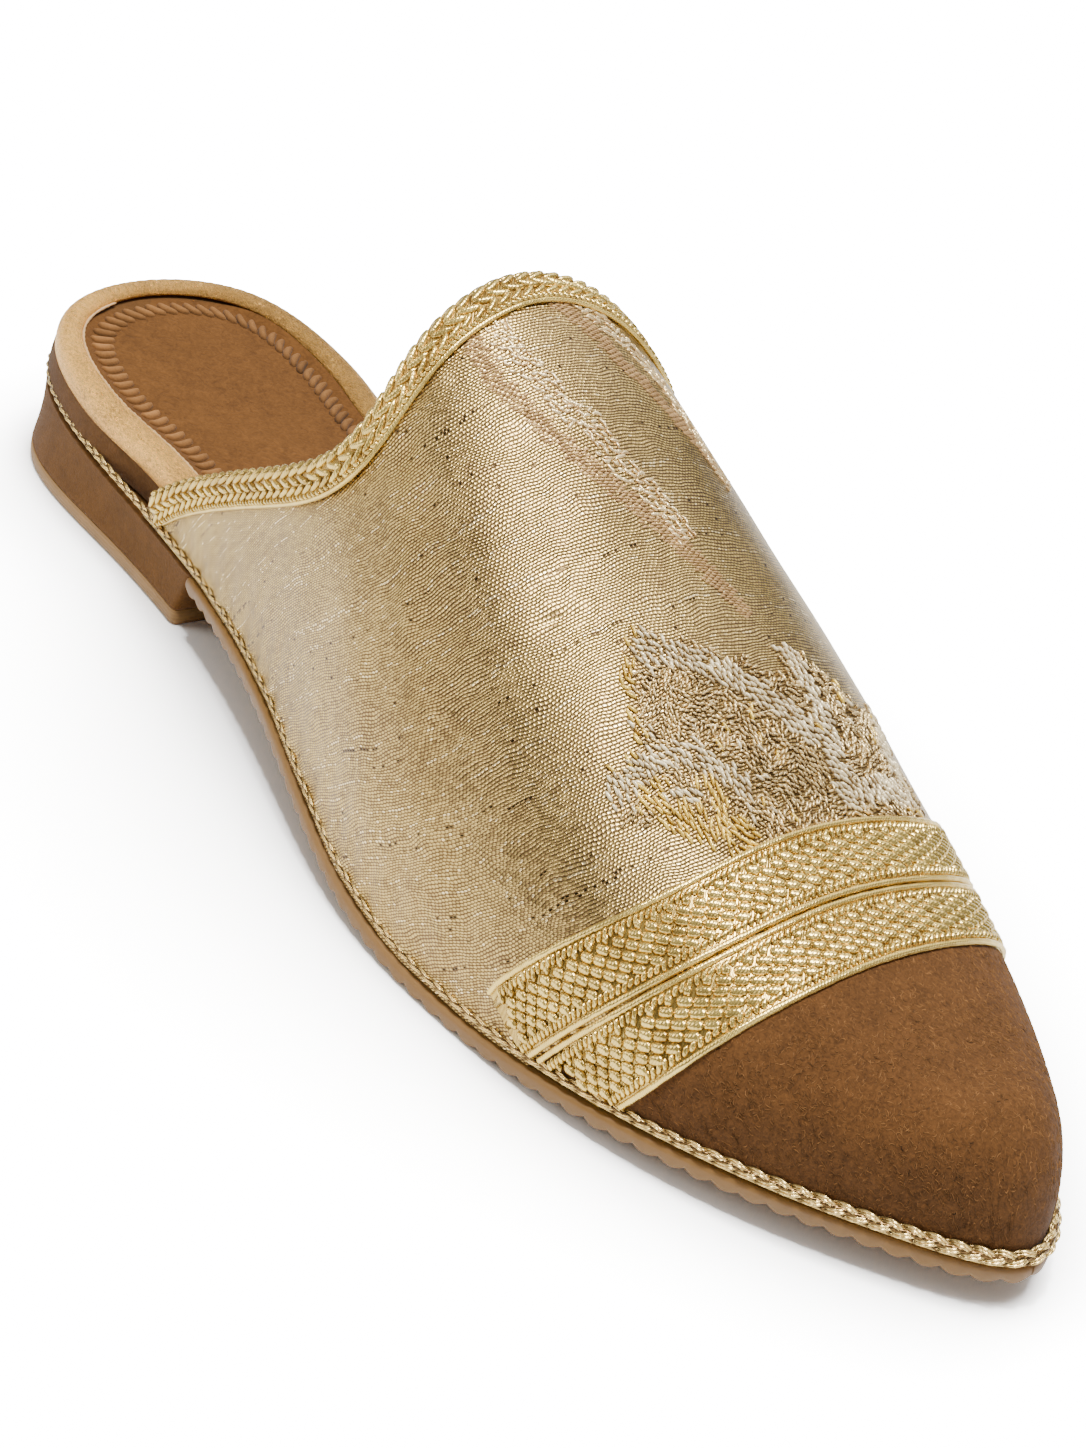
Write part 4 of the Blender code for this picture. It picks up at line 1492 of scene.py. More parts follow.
MOTIF_OUTLINE = (
    # from_heel, girth
    (0.1720, -0.0117), (0.1739, -0.0086), (0.1763, -0.0058), (0.1774, -0.0021),
    (0.1802, 0.0004), (0.1800, 0.0044), (0.1830, 0.0068), (0.1841, 0.0106),
    (0.1785, 0.0129), (0.1787, 0.0158), (0.1817, 0.0179), (0.1841, 0.0225),
    (0.1883, 0.0242), (0.1863, 0.0325), (0.1935, 0.0287), (0.2002, 0.0304),
    (0.2060, 0.0280), (0.2062, 0.0096), (0.2064, 0.0000), (0.2072, -0.0123),
    (0.2052, -0.0150), (0.2015, -0.0162), (0.2017, -0.0181), (0.1998, -0.0205),
    (0.1980, -0.0213), (0.1970, -0.0248), (0.1948, -0.0265), (0.1887, -0.0269),
    (0.1885, -0.0227), (0.1872, -0.0195), (0.1852, -0.0192), (0.1811, -0.0173),
    (0.1772, -0.0164),
)
MOTIF_STROKES = (
    # colour, half width, then points from_heel and girth
    ("silver", 0.0022, (
        (0.1755, -0.0115), (0.1780, -0.0065), (0.1813, -0.0025), (0.1850, 0.0030),
        (0.1890, 0.0065), (0.1925, 0.0095))),
    ("silver", 0.0019, (
        (0.1785, 0.0135), (0.1830, 0.0143), (0.1867, 0.0152), (0.1920, 0.0140),
        (0.1972, 0.0117), (0.2024, 0.0104))),
    ("silver", 0.0020, ((0.2024, 0.0104), (0.2017, 0.0177), (0.2015, 0.0253))),
    ("silver", 0.0018, (
        (0.1915, -0.0263), (0.1902, -0.0226), (0.1902, -0.0176), (0.1913, -0.0127),
        (0.1943, -0.0090), (0.1978, -0.0067))),
    ("silver", 0.0009, ((0.1950, -0.0180), (0.1967, -0.0142))),
    ("silver", 0.0016, ((0.1872, 0.0314), (0.1939, 0.0275), (0.1980, 0.0269))),
    ("gold", 0.0011, (
        (0.1730, -0.0109), (0.1761, -0.0140), (0.1800, -0.0174), (0.1854, -0.0189),
        (0.1883, -0.0204), (0.1891, -0.0262))),
    ("gold", 0.0026, (
        (0.1933, -0.0205), (0.1970, -0.0195), (0.1998, -0.0167), (0.2026, -0.0142),
        (0.2057, -0.0117))),
    ("gold", 0.0014, (
        (0.1954, -0.0119), (0.1978, -0.0111), (0.2013, -0.0116), (0.2057, -0.0083))),
)
ROSE_TRAILS = (
    # from_heel, girth
    ((0.1235, -0.0147), (0.1330, -0.0143), (0.1430, -0.0100), (0.1515, -0.0045),
     (0.1590, 0.0014), (0.1685, 0.0073), (0.1730, 0.0096)),
    ((0.1225, 0.0018), (0.1290, 0.0067), (0.1340, 0.0098), (0.1370, 0.0134),
     (0.1410, 0.0158), (0.1440, 0.0200), (0.1475, 0.0232)),
)
SILVER_TRAILS = (
    # from_heel, girth
    ((0.1245, -0.0090), (0.1310, -0.0097), (0.1340, -0.0078), (0.1415, -0.0050),
     (0.1440, -0.0022), (0.1490, -0.0012), (0.1515, 0.0009), (0.1540, 0.0027),
     (0.1570, 0.0040), (0.1620, 0.0056)),
    ((0.1225, 0.0070), (0.1265, 0.0100), (0.1285, 0.0129), (0.1310, 0.0160),
     (0.1345, 0.0190), (0.1390, 0.0208), (0.1450, 0.0225), (0.1500, 0.0262)),
)
ROSE_WIDTH = 0.0023


def inside(x, girth, outline):
    """Whether places lie inside an outline, by counting crossings."""
    found = np.zeros(x.shape, bool)
    for (x0, g0), (x1, g1) in zip(outline, outline[1:] + outline[:1]):
        cuts = (g0 > girth) != (g1 > girth)
        at = x0 + (girth - g0) / (g1 - g0 + NO_AREA) * (x1 - x0)
        found = found ^ (cuts & (x < at))
    return found


def line_distance(x, girth, line):
    """Distance of places from a line of points, and the line's direction there."""
    best = np.full(x.shape, np.inf)
    turn = np.zeros(x.shape)
    for (x0, g0), (x1, g1) in zip(line, line[1:]):
        dx, dg = x1 - x0, g1 - g0
        share = ((x - x0) * dx + (girth - g0) * dg) / (dx * dx + dg * dg)
        share = np.clip(share, 0, 1)
        far = np.hypot(x - x0 - share * dx, girth - g0 - share * dg)
        near = far < best
        best = np.where(near, far, best)
        turn = np.where(near, math.atan2(dg, dx), turn)
    return best, turn


def over_folds(x, girth, level):
    """Point at a level over the cloth with its folds."""
    return on_cloth(x, girth, level + cloth_level(x, girth))


LINE_STEPS = 200


def along_line(line, pitch):
    """Evenly spaced places along a line of points, and its direction there."""
    points = np.array(line)
    run = run_along(points)
    even = np.linspace(0, run[-1], LINE_STEPS)
    x = cubic(run, points[:, 0], even)
    girth = cubic(run, points[:, 1], even)
    turn = np.unwrap(np.arctan2(np.gradient(girth), np.gradient(x)))
    at = np.arange(pitch / 2, run[-1], pitch)
    return tuple(np.interp(at, even, item) for item in (x, girth, turn))


SATIN_REACH = 1.6  # how far a patch's lattice runs, in patches


def satin(low, high, patch, slant, spread, length, width, rng):
    """Satin stitches in patches that each lie their own way.

    Centres are scattered over a box of stations and girths; round each is
    a brick lattice of stitches, cut off where another centre is nearer.
    """
    low, high = np.array(low), np.array(high)
    count = int(np.prod(high - low) / patch**2)
    centres = low + (high - low) * rng.uniform(0, 1, (count, 2))
    angles = slant + spread * rng.uniform(-1, 1, count)
    reach = patch * SATIN_REACH
    columns, rows = math.ceil(reach / length), math.ceil(reach / width)
    row, column = np.mgrid[-rows:rows + 1, -columns:columns + 1]
    along, across = (column + 0.5 * (row % 2)) * length, row * width
    found = []
    for number, (centre, angle) in enumerate(zip(centres, angles)):
        x = centre[0] + along * math.cos(angle) - across * math.sin(angle)
        girth = centre[1] + along * math.sin(angle) + across * math.cos(angle)
        far = np.hypot(x[..., None] - centres[:, 0], girth[..., None] - centres[:, 1])
        near = far.argmin(-1) == number
        found.append(np.stack((x[near], girth[near], np.full(near.sum(), angle))))
    return np.concatenate(found, axis=1)


def stroke_share(x, girth, colour):
    """How far places belong to the motif's strokes of one colour."""
    share = np.zeros(x.shape)
    for name, width, line in MOTIF_STROKES:
        if name == colour:
            far = line_distance(x, girth, line)[0]
            share = np.maximum(share, np.exp(-((far / width) ** 2)))
    return share


MOTIF_STITCHES = (
    # colour, patch, slant, spread, length, width, height
    ("silver", 0.0040, 0.35, 0.5, 0.0017, 0.00056, 0.00046),
    ("gold", 0.0045, 0.15, 0.6, 0.0021, 0.00054, 0.00046),
    ("brown", 0.0026, 0.80, 1.6, 0.0013, 0.00044, 0.00038),
)
MOTIF_FINISHES = (
    # name, light, deep, turns, roughness, metallic
    ("silver", "silver", "silver_deep", 14.0, 0.20, 0.20),
    ("gold", "motif_gold", "motif_gold_deep", 14.0, 0.22, 0.35),
    ("brown", "brown", "brown_deep", 14.0, 0.24, 0.60),
    ("trail", "spark", "rose", 14.0, 0.25, 0.60),
    ("rose", "rose", "rose_shade", 10.0, 0.50, 0.50),
)
MOTIF_LOW = (0.170, -0.029)  # from_heel and girth of the motif's box
MOTIF_HIGH = (0.209, 0.035)
STITCH_SHIFT = 0.00005
RAGGED_EDGE = 0.0004
STITCH_LEVEL = 0.00002
STITCH_ROOM = (1.04, 1.06)  # spacing of the stitches in their lengths and widths
STROKE_LEVEL = 0.36
SILVER_FLECKS = 0.05
GOLD_FLECKS = 0.03
TRAIL_PITCH = 0.00100
TRAIL_ASIDES = (-0.0017, -0.0006, 0.0006, 0.0017)
TRAIL_STITCH = (0.0016, 0.00054, 0.00026)  # length, width, height
ROSE_STITCH = (0.0012, 0.00042, 0.00018)
ROSE_LEVEL = 0.00001
ROSE_ROWS = 0.00044
ROSE_PATCH = 0.02
ROSE_SLANT = math.pi / 2 - 0.2
ROSE_SPREAD = 0.1
ROSE_MARGIN = 0.002


def lay_motif(soups, size, rng):
    """Satin stitches of the motif, each colour where its own strokes are.

    A stitch is silver or gold when its share of those strokes is over a
    random level, or by a rare fleck, and brown when it is neither.
    """
    for colour, patch, slant, spread, length, width, height in MOTIF_STITCHES:
        x, girth, turn = satin(MOTIF_LOW, MOTIF_HIGH, patch, slant, spread,
                               length * size * STITCH_ROOM[0],
                               width * size * STITCH_ROOM[1], rng)
        x = x + rng.normal(0, STITCH_SHIFT, x.size)
        girth = girth + rng.normal(0, STITCH_SHIFT, x.size)
        ragged = rng.normal(0, RAGGED_EDGE, (2, x.size))
        inner = inside(x + ragged[0], girth + ragged[1], MOTIF_OUTLINE)
        chance = STROKE_LEVEL + rng.normal(0, 0.10, x.size)
        fleck = rng.uniform(0, 1, x.size)
        silver = (stroke_share(x, girth, "silver") > chance) | (fleck < SILVER_FLECKS)
        gold = (stroke_share(x, girth, "gold") > chance) | (fleck > 1 - GOLD_FLECKS)
        gold = gold & ~silver
        mask = inner & {"silver": silver, "gold": gold, "brown": ~silver & ~gold}[colour]
        some = int(mask.sum())
        threads(
            soups[colour], over_folds, x[mask], girth[mask],
            turn[mask] + rng.normal(0, 0.12, some),
            length * size * rng.uniform(0.8, 1.15, some), width * size, height, STITCH_LEVEL,
            tint=rng.normal(0, 0.20, some), bow=rng.normal(0, 0.00012, some), shade=0.75,
            steps=5, sides=5,
        )


def lay_trails(soup, rng):
    """Loose bright stitches strewn in rows beside the silver trails."""
    length, width, height = TRAIL_STITCH
    for line in SILVER_TRAILS:
        for aside in TRAIL_ASIDES:
            x, girth, turn = along_line(line, TRAIL_PITCH)
            slant = rng.uniform(-0.3, 1.2, x.size)
            aside = aside + rng.normal(0, 0.0003, x.size)
            x = x - aside * np.sin(turn) + rng.normal(0, 0.0001, x.size)
            girth = girth + aside * np.cos(turn)
            threads(
                soup, over_folds, x, girth, turn + slant,
                length * rng.uniform(0.6, 1.25, x.size), width, height, STITCH_LEVEL,
                tint=rng.normal(0.0, 0.2, x.size), bow=rng.normal(0, 0.0002, x.size),
                shade=0.8, steps=6, sides=6,
            )


def lay_rose_trails(soup, rng):
    """Dense satin stitches along the rose trails, ragged at the sides."""
    for line in ROSE_TRAILS:
        x, girth, turn = satin(np.min(line, 0) - ROSE_MARGIN, np.max(line, 0) + ROSE_MARGIN,
                               ROSE_PATCH, ROSE_SLANT, ROSE_SPREAD, ROSE_STITCH[0],
                               ROSE_ROWS, rng)
        kept = line_distance(x, girth, line)[0] < ROSE_WIDTH * rng.normal(0.7, 0.12, x.size)
        x, girth, turn = x[kept], girth[kept], turn[kept]
        threads(
            soup, over_folds, x, girth, turn + rng.normal(0, 0.10, x.size), *ROSE_STITCH,
            ROSE_LEVEL, tint=rng.normal(0, 0.18, x.size), shade=0.8, steps=4, sides=5,
        )


def make_motif(sizes, colours):
    """Brocaded motif and trails: satin stitches in silver, gold, brown and rose."""
    rng = np.random.default_rng(23)
    soups = {row[0]: Soup() for row in MOTIF_FINISHES}
    lay_motif(soups, sizes.stitch_size, rng)
    lay_trails(soups["trail"], rng)
    lay_rose_trails(soups["rose"], rng)
    for name, light, deep, turns, rough, metallic in MOTIF_FINISHES:
        finish = metal_thread(name.capitalize() + " thread", getattr(colours, light),
                              getattr(colours, deep), turns, rough, metallic)
        soups[name].build("motif_" + name, finish, "vamp_brocade")


CAP_COLUMNS = 160
CAP_ROWS = 100
CAP_CROWDING = 1.7
CAP_WAVE = 0.00008
NAP_FIBRES = 7600
NAP_FROM = 0.2125
NAP_CLEAR = 0.0015  # bare margin at the tip and the feet
NAP_CROWDING = 0.75


def make_toe_cap(colours):
    """Suede toe cap over the tip."""
    angle = cloth_columns(CAP_COLUMNS)
    start = band_seam(angle) + BAND_GAP
    share = 1 - (1 - np.linspace(0, 1, CAP_ROWS)[:, None]) ** CAP_CROWDING
    x = start + (LENGTH - start) * share
    girth = girth_of(x, angle)
    level = CAP_WAVE * np.sin(x * 300 + girth * 150) * np.sin(girth * 230) * (1 - share)
    hemmed = [0, 0, *range(CAP_ROWS)]
    x, girth, level = x[hemmed], girth[hemmed], level[hemmed]
    level[:2] = CLOTH_HEM
    soup = Soup()
    soup.grid(surface(x, angle, level), paired(x * MM, girth * MM))
    soup.build("toe_cap_suede", suede("Cap suede", colours.cap, 1.1, 800.0),
               "cap_suede", "toe_cap")


def make_nap(colours):
    """Fine curled fibres strewn over the toe cap."""
    rng = np.random.default_rng(5)
    back = rng.uniform(0, 1, NAP_FIBRES) ** NAP_CROWDING
    x = LENGTH - NAP_CLEAR - (LENGTH - NAP_FROM) * back
    girth = rng.uniform(-1, 1, NAP_FIBRES) * (half_girth(x) - NAP_CLEAR)
    kept = x > band_seam(rolled_angle(x, girth)) + BAND_WIDTH
    x, girth = x[kept], girth[kept]
    soup = Soup()
    threads(
        soup, on_cloth, x, girth, rng.uniform(0, math.pi, x.size),
        rng.uniform(0.0006, 0.0012, x.size), 0.00010, 0.00009, 0.00001,
        tint=rng.normal(0.0, 0.25, x.size), bow=rng.normal(0, 0.00028, x.size), shade=0.2,
        steps=4, sides=2,
    )
    soup.build("cap_nap", suede("Nap", colours.cap_nap, 0.3, 900.0), "cap_suede")


BRAID_BASE = 0.00042
BRAID_GROUND = (
    # share across the tape, share of its height
    (0.00, 0.0), (0.00, 0.6), (0.03, 0.9), (0.10, 1.0), (0.18, 0.9), (0.30, 0.9), (0.50, 1.0),
    (0.70, 0.9), (0.82, 0.9), (0.90, 1.0), (0.97, 0.9), (1.00, 0.6), (1.00, 0.0),
)
BRAID_COLUMNS = 450
PIPING_COLUMNS = 600
PIPING_RADIUS = 0.00052
PIPING_IN = 0.00036
BEAD_IN = 0.00150
BEAD_PITCH = 0.00112
BEAD_SIZE = (0.00155, 0.00098, 0.00062)  # length, width, height
FIELD_IN = 0.00205
FLOAT_HEIGHT = 0.00060
FLOAT_LAP = 1.16  # length and width of a float in cells
FLOAT_FILL = 1.04
END_RISE = 0.00012  # how much higher a bead's or a lobe's leading end lies
FLOAT_RISE = 0.00022
BRICK_FROM = -0.030
BRICK_TO = -0.005
BAND_FOOT = 0.0008
FLOAT_TURN = math.radians(26)
BEAD_TURN = math.radians(-50)


def braid_base(soup, strip, near, far):
    """Ground of a braid: a flat tape with rounded edges, tinted dark as painted shade between its
    threads.
    """
    width = far - near
    across, height = np.array(BRAID_GROUND).T
    run = np.linspace(*strip.ends((near + far) / 2), BRAID_COLUMNS)[:, None]
    points = strip.place(run, near + width * across, BRAID_BASE * height)
    uv = paired(run * MM, across * width * MM)
    # Dark tint: painted shade in the gaps between the floats and beads.
    soup.grid(points[:, ::-1], uv[:, ::-1], -0.45)


def piping(soup, strip, distance, level, radius):
    """Smooth piping along a strip."""
    run = np.linspace(*strip.ends(distance), PIPING_COLUMNS)
    centre = strip.place(run, distance, level)
    side = strip.place(run, distance + PROBE * 10, level) - centre
    wave = 1 + 0.05 * np.sin(run * 900) + 0.04 * np.sin(run * 2300 + 1)
    tube(soup, centre, side, radius * wave, 8, tint=0.1)


def pitched(start, end, pitch):
    """Middles of the cells of about this pitch between two runs."""
    count = int((end - start) / pitch)
    return start + (np.arange(count) + 0.5) * (end - start) / count


def lay_beads(soup, strip, distance, rng):
    """Column of slanted beads at a distance on a strip."""
    run = pitched(*strip.ends(distance), BEAD_PITCH)
    threads(
        soup, strip.place, run, distance + rng.normal(0, 0.00004, run.size),
        BEAD_TURN + rng.normal(0, 0.20, run.size), *BEAD_SIZE, BRAID_BASE,
        tint=rng.normal(0.05, 0.12, run.size), lift=END_RISE, shade=0.8,
        steps=6, sides=6,
    )


def lay_floats(soup, strip, near, far, sizes, rng):
    """Rows of slanted floats over the field of a band, set like bricks.

    The bricks fade out to plain rows down the right side, and the floats
    at the ends of a row are cut short.
    """
    low, high = near + FIELD_IN, far - FIELD_IN
    start, end = strip.ends((near + far) / 2)
    rise, cell_length = math.sin(FLOAT_TURN), sizes.float_length
    rows = np.arange(start - (high - low) / math.tan(FLOAT_TURN), end, sizes.float_rows / rise)
    cells = int((high - low) / rise / cell_length) + 2
    row, cell = np.meshgrid(np.arange(rows.size), np.arange(cells), indexing="ij")
    brick = 0.5 * smooth_step(rows, BRICK_FROM, BRICK_TO)[row] * (row % 2)
    along = (cell + brick) * cell_length
    distance = low + along * rise
    run = rows[row] + along * math.cos(FLOAT_TURN)
    starts, ends = (
        np.interp(distance, (low, high), pair)
        for pair in zip(strip.ends(low), strip.ends(high))
    )
    kept = (distance <= high + 0.0002) & (run > starts) & (run < ends)
    run, distance = run[kept], distance[kept]
    count = run.size
    reach = np.minimum(distance - low, high - distance) / rise
    cut = np.clip(0.55 + reach / cell_length, 0.5, 1)
    threads(
        soup, strip.place, run, distance, FLOAT_TURN + rng.normal(0, 0.03, count),
        cell_length * FLOAT_LAP * cut * (1 + rng.normal(0, 0.04, count)),
        sizes.float_rows * FLOAT_FILL, FLOAT_HEIGHT * (1 + rng.normal(0, 0.08, count)),
        BRAID_BASE - 0.00005, tint=rng.normal(0, 0.10, count), lift=FLOAT_RISE,
        blunt=4.0, shade=0.55, steps=8, sides=7,
    )


def make_toe_bands(sizes, colours):
    """Two braids side by side: slanted floats between columns of beads.

    The bead columns slant the other way than the floats, and a smooth
    piping closes each edge.
    """
    strip = Strip(band_seam, BAND_SPREAD, BAND_FOOT)
    finish = metal_thread("Braid gold", colours.gold, colours.gold_deep, 11.0, 0.22, 0.85)
    for name, side in (("toe_band_rear", -1), ("toe_band_front", 1)):
        rng = np.random.default_rng(31 + side)
        near = side * (BAND_WIDTH + BAND_GAP) / 2 - BAND_WIDTH / 2
        far = near + BAND_WIDTH
        soup = Soup()
        braid_base(soup, strip, near, far)
        for distance in (near + PIPING_IN, far - PIPING_IN):
            piping(soup, strip, distance, BRAID_BASE, PIPING_RADIUS)
        for distance in (near + BEAD_IN, far - BEAD_IN):
            lay_beads(soup, strip, distance, rng)
        lay_floats(soup, strip, near, far, sizes, rng)
        soup.build(name + "_braid", finish, "braid_gold", name)


ROLL_LEVEL = 0.0009
NOSE_OUT = 0.0005
BINDING_LOBES = (
    # across the binding, turn, length, width, height, pitch
    (-0.0014, -24, 0.0042, 0.00120, 0.00050, 0.0028),
    (0.0003, 24, 0.0043, 0.00125, 0.00062, 0.0028),
    (0.0020, -24, 0.0043, 0.00125, 0.00066, 0.0028),
    (0.0037, 24, 0.0042, 0.00120, 0.00066, 0.0028),
    (0.0052, -27, 0.0034, 0.00105, 0.00060, 0.0024),
    (0.0063, 42, 0.0015, 0.00070, 0.00045, 0.0011),
)
BINDING_PIPING = 0.0056
BINDING_PIPING_RADIUS = 0.00044
BINDING_COLUMNS = 500
BINDING_ROWS = 30
BINDING_FROM = -0.0042  # across the binding, inside the collar
BINDING_TO = BINDING_WIDTH + 0.0009
BINDING_SUNK = 0.00003
LOBE_BOW = 0.00022


def binding_place(strip):
    """Placing on the binding, which rolls over the collar's edge.

    Its section is a half circle as wide as the wall and the braid, run out
    flat on both faces, and is read by the run across from its nose.
    """
    def place(run, across, lift):
        deep = wall(strip.flat(run, BINDING_WEB)[0])
        radius = (ROLL_LEVEL + deep) / 2
        centre = (ROLL_LEVEL - deep) / 2
        quarter = math.pi / 2 * radius
        arc = np.clip(across, -quarter, quarter) / radius
        beyond = np.abs(across) - np.minimum(np.abs(across), quarter)
        distance = radius * (1 - np.cos(arc)) + beyond - lift * np.cos(arc) - NOSE_OUT
        level = centre + radius * np.sin(arc) + lift * np.sin(arc)
        return strip.place(run, distance, level)
    return place


def make_binding(colours):
    """Binding: a braid folded over the collar, of crossing plaited lobes."""
    strip = Strip(collar_edge)
    place = binding_place(strip)
    rng = np.random.default_rng(47)
    soup = Soup()
    start, end = strip.ends(BINDING_WIDTH / 2)
    run = np.linspace(start, end, BINDING_COLUMNS)[:, None]
    across = np.linspace(BINDING_FROM, BINDING_TO, BINDING_ROWS)
    across = np.r_[across, across[-1]]
    sunk = np.r_[np.zeros(BINDING_ROWS), -ROLL_LEVEL]
    points = place(run, across, sunk)
    # The braid's ground is tinted dark: painted shade in the gaps between the lobes.
    soup.grid(points[:, ::-1], paired(run * MM, across * MM)[:, ::-1], -0.7)
    for across, turn, length, width, height, pitch in BINDING_LOBES:
        run = pitched(start, end, pitch)
        threads(
            soup, place, run, across + rng.normal(0, 0.00005, run.size),
            math.radians(turn) + rng.normal(0, 0.06, run.size),
            length * (1 + rng.normal(0, 0.04, run.size)), width, height, -BINDING_SUNK,
            tint=rng.normal(0, 0.12, run.size), lift=END_RISE, bow=LOBE_BOW, shade=0.62,
            steps=8, sides=7,
        )
    piping(soup, strip, BINDING_PIPING, ROLL_LEVEL * 0.6, BINDING_PIPING_RADIUS)
    finish = metal_thread("Binding gold", colours.gold, colours.gold_deep, 11.0, 0.22, 0.8)
    soup.build("collar_braid", finish, "braid_gold", "collar_binding")


CAMERA_PLACE = (0.2571, -0.22301, 0.22552)
CAMERA_AZIMUTH = math.radians(47.485)
CAMERA_ELEVATION = math.radians(32.310)
CAMERA_ROLL = math.radians(13.358)
CAMERA_LENS = 59.19  # focal length in millimetres, on a sensor this wide
CAMERA_SENSOR = 36.0
CAMERA_NEAR = 0.01
CAMERA_FAR = 30.0
FLOOR_SIZE = 8.0
FLOOR_DROP = 0.0001
# Painted contact shadow on the floor, seen by the camera only: occlusion within this reach, raised
# to this power, keeping this share at its darkest.
CONTACT_REACH = 0.24
CONTACT_POWER = 3.9
CONTACT_LEFT = 0.12
CONTACT_SAMPLES = 16
LAMPS = (
    # name, place, size, watts, warmth
    ("Overhead softbox", (0.12, 0.06, 1.25), 0.50, 28.5, 0.0),
    ("Back softbox", (-0.35, 0.95, 0.95), 1.0, 5.6, 0.0),
    ("Left softbox", (-0.75, -1.00, 0.65), 0.7, 7.6, 0.12),
    ("Front softbox", (1.25, -0.35, 0.75), 0.7, 3.2, 0.05),
    ("Glint lamp", (0.05, -0.20, 1.20), 0.08, 8.0, 0.0),
)
AIM = (0.02, 0.0, 0.03)
WARM_GREEN = 0.35  # share of the warmth that also dims the green


def make_camera():
    """Camera above the toe's right side, turned about its own axis."""
    data = bpy.data.cameras.new("Camera")
    data.lens = CAMERA_LENS
    data.sensor_width = CAMERA_SENSOR
    data.clip_start = CAMERA_NEAR
    data.clip_end = CAMERA_FAR
    a, e, r = CAMERA_AZIMUTH, CAMERA_ELEVATION, CAMERA_ROLL
    back = Vector((math.sin(a) * math.cos(e), -math.cos(a) * math.cos(e), math.sin(e)))
    level = Vector((math.cos(a), math.sin(a), 0.0))
    upright = back.cross(level)
    right = level * math.cos(r) + upright * math.sin(r)
    up = upright * math.cos(r) - level * math.sin(r)
    camera = new_object("Camera", data)
    turn = Matrix((right, up, back)).transposed().to_4x4()
    camera.matrix_world = Matrix.Translation(CAMERA_PLACE) @ turn
    bpy.context.scene.camera = camera


def make_lamps(strength):
    """Soft square lamps round the slipper, all aimed at it."""
    for name, place, size, watts, warmth in LAMPS:
        data = bpy.data.lights.new(name, "AREA")
        data.size = size
        data.energy = watts * strength
        data.color = (1.0, 1 - WARM_GREEN * warmth, 1 - warmth)
        lamp = new_object(name, data)
        back = Vector(place) - Vector(AIM)
        turn = back.to_track_quat("Z", "Y").to_matrix().to_4x4()
        lamp.matrix_world = Matrix.Translation(place) @ turn


def make_floor(colour, glow):
    """Pale floor under the slipper, seen white but lighting it softly, with a painted contact
    shadow near the slipper.
    """
    material = bpy.data.materials.new("Floor")
    material.use_nodes = True
    n = Nodes(material.node_tree)
    n.tree.nodes.clear()
    end = n.add("ShaderNodeOutputMaterial")
    seen = n.add("ShaderNodeLightPath").outputs["Is Camera Ray"]
    cloud = n.noise(place_of(n), 3.0, 2.0, 0.5)
    tone = n.about(cloud, 0.01)
    near = n.add("ShaderNodeAmbientOcclusion", {"Distance": CONTACT_REACH},
                 samples=CONTACT_SAMPLES)
    # Painted shadow: the floor is darkened where the slipper occludes it.
    contact_shadow = n.math("POWER", near.outputs["AO"], CONTACT_POWER)
    contact_shadow = n.line(contact_shadow, 1 - CONTACT_LEFT, CONTACT_LEFT)
    shown = n.math("SUBTRACT", n.times(contact_shadow, glow), 1.0)
    tone = n.times(tone, n.line(seen, shown, 1.0))
    pale = n.add("ShaderNodeBsdfDiffuse", {"Color": n.shaded(colour, tone)})
    n.feed(end.inputs["Surface"], pale.outputs[0])
    mesh = bpy.data.meshes.new("floor")
    half = FLOOR_SIZE / 2
    corners = [(x * half, y * half, -FLOOR_DROP)
               for x, y in ((-1, -1), (1, -1), (1, 1), (-1, 1))]
    mesh.from_pydata(corners, [], [(0, 1, 2, 3)])
    mesh.materials.append(material)
    floor = new_object("floor", mesh)


def make_stage(stage):
    """Floor, soft daylight, lamps and camera."""
    world = bpy.data.worlds.new("Studio")
    world.use_nodes = True
    sky = world.node_tree.nodes["Background"]
    sky.inputs["Color"].default_value = (*stage.sky, 1.0)
    sky.inputs["Strength"].default_value = stage.daylight
    bpy.context.scene.world = world
    make_lamps(stage.lamps)
    make_floor(stage.floor, stage.glow)
    make_camera()


def linear(red, green, blue):
    """Scene-linear colour of 8-bit display values."""
    return tuple(
        value / 255 / 12.92 if value <= 10 else ((value / 255 + 0.055) / 1.055) ** 2.4
        for value in (red, green, blue)
    )


def number_property(name, description, default, low, high, **more):
    """Number between two limits."""
    return bpy.props.FloatProperty(
        name=name, description=description, default=default, min=low, max=high, **more
    )


def size_property(name, description, default, low, high):
    """Length in metres."""
    return number_property(name, description, default, low, high, unit="LENGTH", precision=5)


def colour_property(name, description, default):
    """Colour given by its display values."""
    return bpy.props.FloatVectorProperty(
        name=name, description=description, default=linear(*default), subtype="COLOR",
        size=3, min=0.0, max=1.0,
    )


